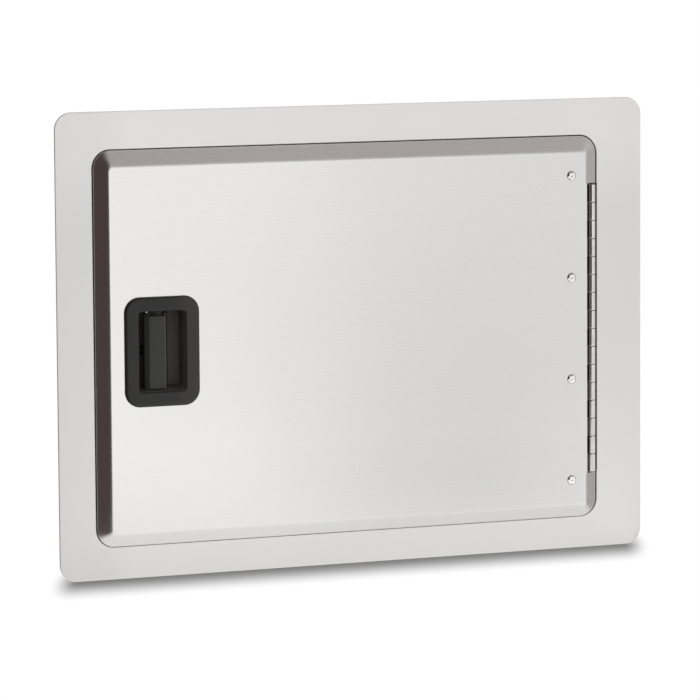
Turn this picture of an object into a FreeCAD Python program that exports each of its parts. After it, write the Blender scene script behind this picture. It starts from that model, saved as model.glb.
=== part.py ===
"""Stainless access door for a masonry or framed outdoor kitchen island.

A flat flange frames a raised, bevelled door pan that swings on an exposed
continuous hinge and is held shut by a flush paddle latch. Millimetres.
X runs to the right, Y into the island, Z up. The origin lies at the centre
of the flange outline, on the back plane of the flange.
"""

import FreeCAD, Part
import math
import os

from FreeCAD import Vector

# Face frame
FLANGE_WIDTH = 660.4
FLANGE_HEIGHT = 482.6
FLANGE_SHEET = 1.5
FLANGE_CORNER_R = 18.0
MARGIN_LATCH = 40.0
MARGIN_HINGE = 52.3
MARGIN_TOP = 39.0
MARGIN_BOTTOM = 33.2
OPENING_CORNER_R = 19.5
ROLLED_EDGE_R = 1.2
LIP_DEPTH = 6.0
FLANGE_EDGE_R = 0.4

# Jamb strips behind the flange
JAMB_SHEET = 1.2
JAMB_FOOT = 14.0
JAMB_DEPTH = 60.0
STOP_WIDTH = 12.5
REAR_LIP = 10.0
SHEET_BEND_R = 1.0
MOUNT_HOLE_D = 5.2
MOUNT_HOLE_SETBACK = 15.0
MOUNT_SPACING_UPRIGHT = 260.0
MOUNT_SPACING_LEVEL = 400.0

# Stop bumpers
BUMPER_D = 9.5
BUMPER_HEIGHT = 2.7
BUMPER_GAP = 0.3
BUMPER_SPACING_UPRIGHT = 300.0
BUMPER_OFFSET_LEVEL = 150.0
BUMPER_EDGE_R = 0.9

# Door pan
FACE_RISE = 9.0
DOOR_SHEET = 1.2
GAP_LATCH = 1.0
GAP_HINGE = 1.2
GAP_TOP = 1.0
GAP_BOTTOM = 0.5
BEVEL_LATCH = 12.5
BEVEL_HINGE = 15.9
BEVEL_TOP = 16.0
BEVEL_BOTTOM = 12.4
FACE_CORNER_R = 5.0
FOLD_SOFTNESS = 2.2
EDGE_SOFTNESS = 1.2
FOLD_STEPS = 4
INNER_CORNER_MIN_R = 0.8
DOOR_WALL_DEPTH = 14.0
RETURN_LIP = 12.0
NOTCH_CLEARANCE = 1.4
NOTCH_PAST_FOLD = 0.2
FACE_EDGE_GAP = 3.2

# Stiffener channels behind the door face
STIFFENER_SHEET = 1.0
STIFFENER_WIDTH = 42.0
STIFFENER_TOP_WIDTH = 22.0
STIFFENER_DEPTH = 12.0
STIFFENER_Z = 118.0
STIFFENER_END_INSET = 22.0

# Continuous hinge
KNUCKLE_COUNT = 16
KNUCKLE_PITCH = 19.3
KNUCKLE_GAP = 0.3
PIN_D = 6.35
PIN_HEAD = 0.6
HINGE_SHEET = 1.6
PIN_CLEARANCE = 0.05
LEAF_CLEARANCE = 0.6
HINGE_Z = -4.8
HINGE_STANDOFF = 2.42
DOOR_LEAF_WIDTH = 40.0
DOOR_LEAF_OVERRUN = 18.0
DOOR_LEAF_RELIEF = 16.0
BACKING_SHEET = 2.0
BACKING_WIDTH = 22.0
LEAF_TO_STOP = 1.2

# Door rivets, with a mandrel hole in each head
RIVET_COUNT = 4
RIVET_PITCH = 108.8
RIVET_Z = -3.5
RIVET_FROM_AXIS = 26.2
RIVET_SHANK_D = 4.8
RIVET_HEAD_D = 10.3
RIVET_HEAD_H = 1.5
RIVET_TAIL_D = 7.2
RIVET_TAIL_H = 3.0
MANDREL_HOLE_D = 2.8
RIVET_HOLE_CLEARANCE = 0.05
RIVET_DOME_R = 1.2
RIVET_TAIL_R = 1.0
MANDREL_HOLE_DEPTH = 1.35

# Jamb rivets that hold the fixed leaf
JAMB_RIVET_COUNT = 4
JAMB_RIVET_PITCH = 77.2
JAMB_RIVET_HEAD_D = 7.0
JAMB_RIVET_HEAD_H = 1.1
JAMB_RIVET_DOME_R = 0.77

# Latch housing
LATCH_FROM_FACE_EDGE = 56.4
LATCH_Z = -6.3
BEZEL_RIM_SIDE = 15.0
BEZEL_RIM_END = 14.9
BEZEL_CORNER_R = 16.5
BEZEL_SHEET = 2.2
BEZEL_CHAMFER = 1.4
CUP_WIDTH = 52.4
CUP_HEIGHT = 83.7
CUP_CORNER_R = 4.0
CUP_DEPTH = 23.5
CUP_WALL = 2.0
CUP_DRAFT_BOTTOM = 5.0
CUP_DRAFT_TOP = 1.5
CUP_LIP_R = 1.3
GASKET_SHEET = 0.6
GASKET_INSET = 1.2
BOSS_HEIGHT = 9.0
BOSS_WIDTH = 30.0
BOSS_DEPTH = 14.0
PIN_IN_BOSS = 6.3
CLAMP_SCREW_OFFSET = 21.0
CUT_CLEARANCE = 0.6

# Paddle, its pin and its spring
PIVOT_FROM_CUP_EDGE = 12.6
PIVOT_BELOW_FACE = 8.0
PADDLE_WIDTH = 19.1
PADDLE_END_CLEARANCE = 4.85
PADDLE_SHEET = 3.0
PADDLE_LIP = 6.0
PADDLE_EDGE_R = 0.8
PADDLE_FROM_PIVOT = 1.1
PADDLE_BELOW_FACE = 4.0
HUB_R = 3.2
PADDLE_PIN_D = 3.0
BOSS_PIN_CLEARANCE = 0.02
TAIL_WIDTH = 8.0
TAIL_SHEET = 3.0
TAIL_LENGTH = 25.5
TAIL_TIP_R = 2.0
TAIL_SIDE_CLEARANCE = 0.8
TAIL_END_CLEARANCE = 0.6
PADDLE_SWING_DEG = 24.0
SPRING_WIRE = 0.8
SPRING_MEAN_R = 2.3
SPRING_TURNS = 5
SPRING_PITCH = 1.25
SPRING_LEG = 9.0

# Latch bolt, its guide cover and the strike
BOLT_THICKNESS = 5.0
BOLT_HEIGHT = 18.0
BOLT_ENGAGEMENT = 6.0
BOLT_TAIL_END = 16.0
BOLT_WINDOW_CLEARANCE = 0.7
BOLT_CLEARANCE = 0.35
BOLT_RAMP = 8.0
BOLT_NOSE = 1.25
BOLT_END_R = 1.5
BOLT_PAD_WIDTH = 7.2
COVER_SHEET = 1.8
COVER_LENGTH = 44.0
COVER_FLANGE = 9.0
COVER_BOSS_H = 3.0
COVER_BEND_R = 0.4
STRIKE_SHEET = 1.5
STRIKE_HEIGHT = 52.0
STRIKE_DEPTH = 20.0
STRIKE_SLOT_CLEARANCE = 1.2
STRIKE_CORNER_R = 3.0
STRIKE_SCREW_SETBACK = 5.4

# Small screws
SCREW_D = 3.0
SCREW_HEAD_D = 6.0
SCREW_HEAD_H = 1.9
SCREW_BITE = 6.0
SCREW_TIP_CLEARANCE = 0.5
SCREW_DOME_R = 1.1
RECESS_DEPTH = 1.1
RECESS_WIDTH = 0.75

# Clamps that grip the door sheet from behind
CLAMP_SHEET = 1.6
CLAMP_HEIGHT = 8.0
CLAMP_FOOT = 6.0
CLAMP_SIDE_CLEARANCE = 1.0

# Working values for cutters and edge picking
OVERSHOOT = 1.0
NEAR = 1e-6

# Places that follow from the sizes above
FRONT_Y = -FLANGE_SHEET
OPEN_L = -FLANGE_WIDTH / 2 + MARGIN_LATCH
OPEN_R = FLANGE_WIDTH / 2 - MARGIN_HINGE
OPEN_B = -FLANGE_HEIGHT / 2 + MARGIN_BOTTOM
OPEN_T = FLANGE_HEIGHT / 2 - MARGIN_TOP
MOUNT_X = (OPEN_L + OPEN_R) / 2
MOUNT_Z = (OPEN_B + OPEN_T) / 2
DOOR_L = OPEN_L + GAP_LATCH
DOOR_R = OPEN_R - GAP_HINGE
DOOR_B = OPEN_B + GAP_BOTTOM
DOOR_T = OPEN_T - GAP_TOP
FACE_Y = FRONT_Y - FACE_RISE
FACE_BACK_Y = FACE_Y + DOOR_SHEET
FACE_L = DOOR_L + BEVEL_LATCH
FACE_R = DOOR_R - BEVEL_HINGE
DOOR_REAR_Y = FRONT_Y + DOOR_WALL_DEPTH
STOP_Y = DOOR_REAR_Y + BUMPER_GAP + BUMPER_HEIGHT
STOP_REAR_Y = STOP_Y + JAMB_SHEET
BARREL_R = PIN_D / 2 + HINGE_SHEET
AXIS_X = OPEN_R - HINGE_STANDOFF - BARREL_R
AXIS_Y = FACE_BACK_Y + BARREL_R
BARREL_B = HINGE_Z - KNUCKLE_COUNT * KNUCKLE_PITCH / 2
BARREL_T = HINGE_Z + KNUCKLE_COUNT * KNUCKLE_PITCH / 2
FACE_EDGE_X = AXIS_X - BARREL_R - FACE_EDGE_GAP
RIVET_X = AXIS_X - RIVET_FROM_AXIS
LATCH_X = FACE_L + LATCH_FROM_FACE_EDGE
GASKET_Y = FACE_Y - GASKET_SHEET
BEZEL_Y = GASKET_Y - BEZEL_SHEET
BEZEL_WIDTH = CUP_WIDTH + 2 * BEZEL_RIM_SIDE
BEZEL_HEIGHT = CUP_HEIGHT + 2 * BEZEL_RIM_END
CUP_L = LATCH_X - CUP_WIDTH / 2
CUP_R = LATCH_X + CUP_WIDTH / 2
CUP_B = LATCH_Z - CUP_HEIGHT / 2
CUP_T = LATCH_Z + CUP_HEIGHT / 2
CUP_FLOOR_Y = BEZEL_Y + CUP_DEPTH
CUP_BACK_Y = CUP_FLOOR_Y + CUP_WALL
PIVOT_X = CUP_L + PIVOT_FROM_CUP_EDGE
PIVOT_Y = FACE_Y + PIVOT_BELOW_FACE
PADDLE_HEIGHT = CUP_HEIGHT - 2 * PADDLE_END_CLEARANCE
BOLT_Y = PIVOT_Y + TAIL_LENGTH - BOLT_THICKNESS / 2
BOLT_REAR_Y = BOLT_Y + BOLT_THICKNESS
WEB_X = OPEN_L + STOP_WIDTH
BOLT_TIP_X = WEB_X - JAMB_SHEET - BOLT_ENGAGEMENT
COVER_L = CUP_L + CUP_WALL
CLAMP_SEAT_Y = FACE_BACK_Y + CUT_CLEARANCE + BOSS_DEPTH
BOLT_TRAVEL = TAIL_LENGTH * math.sin(math.radians(PADDLE_SWING_DEG))


# Basic solids

def box(x0, x1, y0, y1, z0, z1):
    """Axis-aligned block between two corners."""
    return Part.makeBox(x1 - x0, y1 - y0, z1 - z0, Vector(x0, y0, z0))


def rod(start, direction, radius, length):
    """Cylinder from a start point along a direction."""
    return Part.makeCylinder(radius, length, Vector(*start), Vector(*direction))


def ring(x0, x1, z0, z1, radius, y):
    """Rounded rectangle in an upright plane, as a wire."""
    r = radius
    corners = [(x1 - r, z1 - r, 0), (x0 + r, z1 - r, 90), (x0 + r, z0 + r, 180), (x1 - r, z0 + r, 270)]
    edges = []
    for index, (cx, cz, start) in enumerate(corners):
        points = [
            Vector(cx + r * math.cos(math.radians(a)), y, cz + r * math.sin(math.radians(a)))
            for a in (start, start + 45, start + 90)
        ]
        edges.append(Part.Arc(*points).toShape())
        nx, nz, turn = corners[(index + 1) % 4]
        begin = Vector(
            nx + r * math.cos(math.radians(turn)), y, nz + r * math.sin(math.radians(turn)))
        edges.append(Part.LineSegment(points[2], begin).toShape())
    return Part.Wire(edges)


def slab(x0, x1, z0, z1, radius, y0, y1):
    """Rounded rectangular plate between two depths."""
    return Part.Face(ring(x0, x1, z0, z1, radius, y0)).extrude(Vector(0, y1 - y0, 0))


def stack(rings):
    """Solid skinned straight from ring to ring."""
    return Part.makeLoft(rings, True, True)


def edges_at(shape, test):
    """Edges whose middle passes a test."""
    return [edge for edge in shape.Edges if test(edge.CenterOfMass)]


def edges_on(shape, y):
    """Edges that lie in one upright plane."""
    return edges_at(shape, lambda p: abs(p.y - y) < NEAR)


def joined(shapes):
    """Union of shapes, with the seams between flush faces removed."""
    whole = shapes[0]
    for shape in shapes[1:]:
        whole = whole.fuse(shape)
    return whole.removeSplitter()


def bent_section(points, sheet, bend_r):
    """Outline of a folded sheet, as 2D side curves about its mid line."""
    mid_r = bend_r + sheet / 2
    sides = {1: [], -1: []}
    path = [Vector(u, v, 0) for u, v in points]
    run_start = path[0]
    for i in range(1, len(path)):
        along = (path[i] - path[i - 1]).normalize()
        normal = Vector(-along.y, along.x, 0)
        last = i == len(path) - 1
        turn = 0.0
        if not last:
            after = (path[i + 1] - path[i]).normalize()
            turn = math.atan2(along.x * after.y - along.y * after.x, along.dot(after))
        trim = abs(math.tan(turn / 2)) * mid_r
        run_end = path[i] - along * trim
        for side in sides:
            shift = normal * (side * sheet / 2)
            sides[side].append(("line", run_start + shift, run_end + shift))
        if last:
            break
        hand = 1 if turn > 0 else -1
        centre = run_end + normal * (hand * mid_r)
        next_start = path[i] + after * trim
        half = FreeCAD.Rotation(Vector(0, 0, 1), math.degrees(turn) / 2)
        for side in sides:
            radius = mid_r - hand * side * sheet / 2
            arm = normal * (-hand * radius)
            middle = centre + half.multVec(arm)
            end = centre + half.multVec(half.multVec(arm))
            sides[side].append(("arc", centre + arm, middle, end))
        run_start = next_start
    return sides


def bent_sheet(points, sheet, bend_r, place, extrusion):
    """Folded sheet: a section placed in space and pulled along a direction."""
    sides = bent_section(points, sheet, bend_r)
    edges = []
    for side in sides.values():
        for item in side:
            placed = [place(p.x, p.y) for p in item[1:]]
            maker = Part.LineSegment if item[0] == "line" else Part.Arc
            edges.append(maker(*placed).toShape())
    for end, key in ((0, 1), (-1, -1)):
        first = place(sides[1][end][key].x, sides[1][end][key].y)
        second = place(sides[-1][end][key].x, sides[-1][end][key].y)
        edges.append(Part.LineSegment(first, second).toShape())
    wire = Part.Wire(Part.__sortEdges__(edges))
    return Part.Face(wire).extrude(Vector(*extrusion))


# Face frame and jamb

def face_frame():
    """Flange with rounded corners and an opening whose edge rolls back."""
    half_w = FLANGE_WIDTH / 2
    half_h = FLANGE_HEIGHT / 2
    plate = slab(-half_w, half_w, -half_h, half_h, FLANGE_CORNER_R, FRONT_Y, 0)
    plate = plate.makeFillet(FLANGE_EDGE_R, edges_on(plate, FRONT_Y))
    lip_end = FRONT_Y + LIP_DEPTH
    t = FLANGE_SHEET
    lip = slab(OPEN_L - t, OPEN_R + t, OPEN_B - t, OPEN_T + t,
               OPENING_CORNER_R + t, FRONT_Y + t / 2, lip_end)
    opening = slab(OPEN_L, OPEN_R, OPEN_B, OPEN_T,
                   OPENING_CORNER_R, FRONT_Y - OVERSHOOT, lip_end + OVERSHOOT)
    frame = plate.fuse(lip).cut(opening).removeSplitter()

    def on_opening_edge(p):
        inside_x = OPEN_L - NEAR <= p.x <= OPEN_R + NEAR
        inside_z = OPEN_B - NEAR <= p.z <= OPEN_T + NEAR
        return abs(p.y - FRONT_Y) < NEAR and inside_x and inside_z

    return frame.makeFillet(ROLLED_EDGE_R, edges_at(frame, on_opening_edge))


def jamb_points():
    """Mid line of the jamb section: distance outside the opening, and depth."""
    t = JAMB_SHEET / 2
    web = FLANGE_SHEET + t
    inner = -STOP_WIDTH + t
    return [
        (FLANGE_SHEET + JAMB_FOOT, t),
        (web, t),
        (web, STOP_Y + t),
        (inner, STOP_Y + t),
        (inner, JAMB_DEPTH - t),
        (inner + REAR_LIP, JAMB_DEPTH - t),
    ]


def mitre(side):
    """Wedge that leaves one side of the mitred jamb."""
    near = STOP_WIDTH + OVERSHOOT
    far = FLANGE_SHEET + JAMB_FOOT + OVERSHOOT
    inner = [(OPEN_L + near, OPEN_B + near), (OPEN_R - near, OPEN_B + near),
             (OPEN_R - near, OPEN_T - near), (OPEN_L + near, OPEN_T - near)]
    outer = [(OPEN_L - far, OPEN_B - far), (OPEN_R + far, OPEN_B - far),
             (OPEN_R + far, OPEN_T + far), (OPEN_L - far, OPEN_T + far)]
    first = {"bottom": 0, "hinge": 1, "top": 2, "latch": 3}[side]
    second = (first + 1) % 4
    loop = [outer[first], outer[second], inner[second], inner[first], outer[first]]
    wire = Part.makePolygon([Vector(x, -OVERSHOOT, z) for x, z in loop])
    return Part.Face(wire).extrude(Vector(0, JAMB_DEPTH + 2 * OVERSHOOT, 0))


def jamb_strip(side):
    """One folded jamb strip with its two screw holes for the island framing."""
    reach = FLANGE_SHEET + JAMB_FOOT + 2 * OVERSHOOT
    upright = side in ("latch", "hinge")
    place = {
        "latch": lambda u, v: Vector(OPEN_L - u, v, OPEN_B - reach),
        "hinge": lambda u, v: Vector(OPEN_R + u, v, OPEN_B - reach),
        "top": lambda u, v: Vector(OPEN_L - reach, v, OPEN_T + u),
        "bottom": lambda u, v: Vector(OPEN_L - reach, v, OPEN_B - u),
    }[side]
    if upright:
        pull = (0, 0, OPEN_T - OPEN_B + 2 * reach)
    else:
        pull = (OPEN_R - OPEN_L + 2 * reach, 0, 0)
    strip = bent_sheet(jamb_points(), JAMB_SHEET, SHEET_BEND_R, place, pull)
    strip = strip.common(mitre(side))
    hole_y = JAMB_DEPTH - MOUNT_HOLE_SETBACK
    through = 2 * JAMB_SHEET
    web = STOP_WIDTH + JAMB_SHEET / 2
    for sign in (-1, 1):
        if side == "latch":
            start = (OPEN_L + web - 2 * through, hole_y, MOUNT_Z + sign * MOUNT_SPACING_UPRIGHT / 2)
        elif side == "hinge":
            start = (OPEN_R - web - through, hole_y, MOUNT_Z + sign * MOUNT_SPACING_UPRIGHT / 2)
        elif side == "top":
            start = (MOUNT_X + sign * MOUNT_SPACING_LEVEL / 2, hole_y, OPEN_T - web - through)
        else:
            start = (MOUNT_X + sign * MOUNT_SPACING_LEVEL / 2, hole_y, OPEN_B + web - 2 * through)
        direction = (1, 0, 0) if upright else (0, 0, 1)
        strip = strip.cut(rod(start, direction, MOUNT_HOLE_D / 2, 3 * through))
    return strip


def jamb_latch_side():
    """Jamb strip with the slot that the latch bolt enters."""
    strip = jamb_strip("latch")
    strip = strip.cut(strike_slot())
    return strip.cut(joined(strike_screw_holes()))


def jamb_hinge_side():
    """Jamb strip drilled for the fixed hinge leaf."""
    return jamb_strip("hinge").cut(joined(jamb_rivet_holes()))


def stop_bumpers():
    """Rubber buttons on the stop face that the closed door rests near."""
    seat = STOP_WIDTH / 2 - SHEET_BEND_R / 2
    places = [
        (OPEN_L + seat, MOUNT_Z - BUMPER_SPACING_UPRIGHT / 2),
        (OPEN_L + seat, MOUNT_Z + BUMPER_SPACING_UPRIGHT / 2),
        (MOUNT_X - BUMPER_OFFSET_LEVEL, OPEN_T - seat),
        (MOUNT_X - BUMPER_OFFSET_LEVEL, OPEN_B + seat),
    ]
    buttons = []
    for x, z in places:
        button = rod((x, STOP_Y - BUMPER_HEIGHT, z), (0, 1, 0), BUMPER_D / 2, BUMPER_HEIGHT)
        buttons.append(button.makeFillet(BUMPER_EDGE_R, edges_on(button, STOP_Y - BUMPER_HEIGHT)))
    return Part.makeCompound(buttons)


# Door pan

def bevel_ring(share, y, inset=(0, 0, 0, 0), inward=0.0, sheet=0.0):
    """Ring on the pan: a share of the way up the bevel, then further inward."""
    latch, hinge, top, bottom = inset
    radius = OPENING_CORNER_R - GAP_LATCH
    radius += share * (FACE_CORNER_R - radius) - sheet - inward / 2
    return ring(
        DOOR_L + share * BEVEL_LATCH + inward + latch,
        DOOR_R - share * BEVEL_HINGE - inward - hinge,
        DOOR_B + share * BEVEL_BOTTOM + inward + bottom,
        DOOR_T - share * BEVEL_TOP - inward - top,
        max(radius, INNER_CORNER_MIN_R),
        y,
    )


def bevel_y(share):
    """Depth of the bevel at a share of the way to the fold."""
    return FRONT_Y - share * FACE_RISE


def pan_outside():
    """Outer form of the pan with a soft edge and a soft fold."""
    edge_share = EDGE_SOFTNESS / FACE_RISE
    rings = [bevel_ring(0, DOOR_REAR_Y), bevel_ring(0, FRONT_Y + EDGE_SOFTNESS)]
    for k in range(1, FOLD_STEPS + 1):
        s = k / FOLD_STEPS
        share = s * s * edge_share
        y = (1 - s) ** 2 * (FRONT_Y + EDGE_SOFTNESS) + 2 * s * (1 - s) * FRONT_Y
        rings.append(bevel_ring(share, y + s * s * bevel_y(edge_share)))
    start = 1 - FOLD_SOFTNESS / FACE_RISE
    rings.append(bevel_ring(start, bevel_y(start)))
    for k in range(1, FOLD_STEPS + 1):
        s = k / FOLD_STEPS
        share = start + (1 - start) * (1 - (1 - s) ** 2)
        y = (1 - s) ** 2 * bevel_y(start) + (1 - (1 - s) ** 2) * FACE_Y
        rings.append(bevel_ring(share, y, inward=s * s * FOLD_SOFTNESS))
    return stack(rings)


def pan_inside():
    """Hollow of the pan, one sheet thickness inside the outer form."""
    t = DOOR_SHEET
    widths = (BEVEL_LATCH, BEVEL_HINGE, BEVEL_TOP, BEVEL_BOTTOM)
    slopes = [math.hypot(w, FACE_RISE) for w in widths]
    normal_inset = tuple(t * slope / FACE_RISE for slope in slopes)
    mean = sum(widths) / 4
    bend = t * (sum(slopes) / 4 - FACE_RISE) / mean
    wall = (t, t, t, t)
    share = 1 - t / FACE_RISE
    return stack([
        bevel_ring(0, DOOR_REAR_Y + OVERSHOOT, inset=wall, sheet=t),
        bevel_ring(0, FRONT_Y + bend, inset=wall, sheet=t),
        bevel_ring(share, FACE_BACK_Y, inset=normal_inset, sheet=t),
    ])


def door_skin():
    """Bevelled pan with return lips, notched for the barrel and cut for the latch."""
    skin = pan_outside().cut(pan_inside())
    r = OPENING_CORNER_R - GAP_LATCH
    lip = slab(DOOR_L, DOOR_R, DOOR_B, DOOR_T, r, DOOR_REAR_Y - DOOR_SHEET, DOOR_REAR_Y)
    lip_hole = slab(
        DOOR_L + RETURN_LIP, DOOR_R - RETURN_LIP, DOOR_B + RETURN_LIP, DOOR_T - RETURN_LIP,
        r / 3, DOOR_REAR_Y - DOOR_SHEET - OVERSHOOT, DOOR_REAR_Y + OVERSHOOT)
    skin = skin.fuse(lip.cut(lip_hole))
    low = BARREL_B - NOTCH_CLEARANCE
    high = BARREL_T + NOTCH_CLEARANCE
    fold_x = FACE_R - FOLD_SOFTNESS - NOTCH_PAST_FOLD
    notch = box(fold_x, DOOR_R + OVERSHOOT, FACE_Y - OVERSHOOT, DOOR_REAR_Y + OVERSHOOT, low, high)
    skin = skin.cut(notch)
    skin = skin.fuse(box(fold_x, FACE_EDGE_X, FACE_Y, FACE_BACK_Y, low, high)).removeSplitter()
    skin = skin.cut(joined(rivet_holes(FACE_Y, DOOR_SHEET)))
    return skin.cut(latch_cutout(FACE_Y, FACE_BACK_Y))


def latch_cutout(y0, y1):
    """Hole through the door face that the latch body drops into."""
    c = CUP_WALL + CUT_CLEARANCE
    tall = c + BOSS_HEIGHT
    return slab(CUP_L - c, CUP_R + c, CUP_B - tall, CUP_T + tall,
                CUP_CORNER_R, y0 - OVERSHOOT, y1 + OVERSHOOT)


def door_stiffener(z):
    """Hat-section channel welded behind the face."""
    foot = (STIFFENER_WIDTH - STIFFENER_TOP_WIDTH) / 2
    t = STIFFENER_SHEET / 2
    half = STIFFENER_WIDTH / 2
    top = half - foot
    base = FACE_BACK_Y + t
    crest = FACE_BACK_Y + STIFFENER_DEPTH - t
    points = [(-half, base), (-top - t, base), (-top + t, crest),
              (top - t, crest), (top + t, base), (half, base)]
    start = FACE_L + STIFFENER_END_INSET
    end = RIVET_X - BACKING_WIDTH - STIFFENER_END_INSET / 2

    def place(u, v):
        return Vector(start, v, z + u)

    return bent_sheet(points, STIFFENER_SHEET, SHEET_BEND_R, place, (end - start, 0, 0))


# Continuous hinge

def knuckle_spans(offset):
    """Heights of every second knuckle, starting from an offset."""
    spans = []
    for index in range(offset, KNUCKLE_COUNT, 2):
        low = BARREL_B + index * KNUCKLE_PITCH + KNUCKLE_GAP / 2
        spans.append((low, low + KNUCKLE_PITCH - KNUCKLE_GAP))
    return spans


def pin_bore(low, high, bore_r):
    """Cutter for the pin hole of one knuckle."""
    return rod((AXIS_X, AXIS_Y, low - OVERSHOOT), (0, 0, 1), bore_r, high - low + 2 * OVERSHOOT)


def knuckles(offset, bore_r):
    """Rolled knuckles of one leaf."""
    rolls = []
    for low, high in knuckle_spans(offset):
        tube = rod((AXIS_X, AXIS_Y, low), (0, 0, 1), BARREL_R, high - low)
        rolls.append(tube.cut(pin_bore(low, high, bore_r)))
    return rolls


def hinge_frame_leaf():
    """Fixed leaf, flat along the jamb."""
    outer = AXIS_X + BARREL_R
    inner = outer - HINGE_SHEET
    rear = STOP_Y - LEAF_TO_STOP
    plate = box(inner, outer, AXIS_Y + BARREL_R + LEAF_CLEARANCE, rear, BARREL_B + KNUCKLE_GAP / 2,
                BARREL_T - KNUCKLE_GAP / 2)
    pieces = [plate]
    for (low, high), roll in zip(knuckle_spans(0), knuckles(0, PIN_D / 2)):
        web = box(inner, outer, AXIS_Y, AXIS_Y + BARREL_R + 2 * LEAF_CLEARANCE, low, high)
        web = web.cut(pin_bore(low, high, PIN_D / 2))
        pieces += [roll, web]
    return joined(pieces).cut(joined(jamb_rivet_holes()))


def hinge_door_leaf():
    """Swinging leaf, flat under the door face and longer than the barrel."""
    front = AXIS_Y - BARREL_R
    back = front + HINGE_SHEET
    left = AXIS_X - DOOR_LEAF_WIDTH
    low_end = BARREL_B - DOOR_LEAF_OVERRUN
    high_end = BARREL_T + DOOR_LEAF_OVERRUN
    bore = PIN_D / 2 + PIN_CLEARANCE
    pieces = [
        box(left, AXIS_X - DOOR_LEAF_RELIEF, front, back, low_end, high_end),
        box(left, AXIS_X - BARREL_R - LEAF_CLEARANCE, front, back, BARREL_B + KNUCKLE_GAP / 2,
            BARREL_T - KNUCKLE_GAP / 2),
    ]
    for (low, high), roll in zip(knuckle_spans(1), knuckles(1, bore)):
        web = box(AXIS_X - BARREL_R - 2 * LEAF_CLEARANCE, AXIS_X, front, back, low, high)
        web = web.cut(pin_bore(low, high, bore))
        pieces += [roll, web]
    return joined(pieces).cut(joined(rivet_holes(front, HINGE_SHEET)))


def hinge_pin():
    """Pin through all the knuckles, with slightly staked ends."""
    length = BARREL_T - BARREL_B
    shaft = rod((AXIS_X, AXIS_Y, BARREL_B), (0, 0, 1), PIN_D / 2, length)
    heads = []
    for z in (BARREL_B - PIN_HEAD, BARREL_T):
        heads.append(rod((AXIS_X, AXIS_Y, z), (0, 0, 1), PIN_D / 2 + PIN_HEAD / 2, PIN_HEAD))
    return joined([shaft] + heads)


def hinge_spacer():
    """Strip that packs the fixed leaf off the jamb, behind the rolled lip."""
    start = FRONT_Y + LIP_DEPTH + PIN_CLEARANCE
    return box(AXIS_X + BARREL_R, OPEN_R + FLANGE_SHEET, start, STOP_Y - LEAF_TO_STOP,
               BARREL_B + KNUCKLE_GAP / 2, BARREL_T - KNUCKLE_GAP / 2).cut(joined(jamb_rivet_holes()))


def hinge_backing_strip():
    """Strip behind the swinging leaf that spreads the pull of the rivets."""
    front = AXIS_Y - BARREL_R + HINGE_SHEET
    strip = box(RIVET_X - BACKING_WIDTH / 2, RIVET_X + BACKING_WIDTH / 2, front, front + BACKING_SHEET,
                BARREL_B - DOOR_LEAF_OVERRUN, BARREL_T + DOOR_LEAF_OVERRUN)
    return strip.cut(joined(rivet_holes(front, BACKING_SHEET)))


def rivet_heights():
    """Heights of the rivets in the door face."""
    middle = (RIVET_COUNT - 1) / 2
    return [RIVET_Z + (k - middle) * RIVET_PITCH for k in range(RIVET_COUNT)]


def rivet_holes(front, sheet):
    """Cutters for the door rivets through one sheet."""
    hole = RIVET_SHANK_D / 2 + RIVET_HOLE_CLEARANCE
    length = sheet + 2 * OVERSHOOT
    return [rod((RIVET_X, front - OVERSHOOT, z), (0, 1, 0), hole, length) for z in rivet_heights()]


def door_rivets():
    """Blind rivets: domed head with a mandrel hole, shank and set tail."""
    grip_end = FACE_Y + DOOR_SHEET + HINGE_SHEET + BACKING_SHEET
    rivets = []
    for z in rivet_heights():
        head = rod((RIVET_X, FACE_Y, z), (0, -1, 0), RIVET_HEAD_D / 2, RIVET_HEAD_H)
        head = head.makeFillet(RIVET_DOME_R, edges_on(head, FACE_Y - RIVET_HEAD_H))
        shank = rod((RIVET_X, FACE_Y, z), (0, 1, 0), RIVET_SHANK_D / 2, grip_end - FACE_Y)
        tail = rod((RIVET_X, grip_end, z), (0, 1, 0), RIVET_TAIL_D / 2, RIVET_TAIL_H)
        tail = tail.makeFillet(RIVET_TAIL_R, edges_on(tail, grip_end + RIVET_TAIL_H))
        mandrel = rod((RIVET_X, FACE_Y - RIVET_HEAD_H - OVERSHOOT, z), (0, 1, 0),
                      MANDREL_HOLE_D / 2, OVERSHOOT + MANDREL_HOLE_DEPTH)
        rivets.append(joined([head, shank, tail]).cut(mandrel))
    return Part.makeCompound(rivets)


def jamb_rivet_places():
    """Heights and depth of the rivets through fixed leaf, spacer and jamb."""
    middle = (JAMB_RIVET_COUNT - 1) / 2
    y = (FRONT_Y + LIP_DEPTH + STOP_Y) / 2
    return [(y, HINGE_Z + (k - middle) * JAMB_RIVET_PITCH) for k in range(JAMB_RIVET_COUNT)]


def jamb_rivet_holes():
    """Cutters for the jamb rivets."""
    start = AXIS_X + BARREL_R - HINGE_SHEET - OVERSHOOT
    length = OPEN_R + FLANGE_SHEET + JAMB_SHEET + OVERSHOOT - start
    hole = SCREW_D / 2 + RIVET_HOLE_CLEARANCE
    return [rod((start, y, z), (1, 0, 0), hole, length) for y, z in jamb_rivet_places()]


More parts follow.
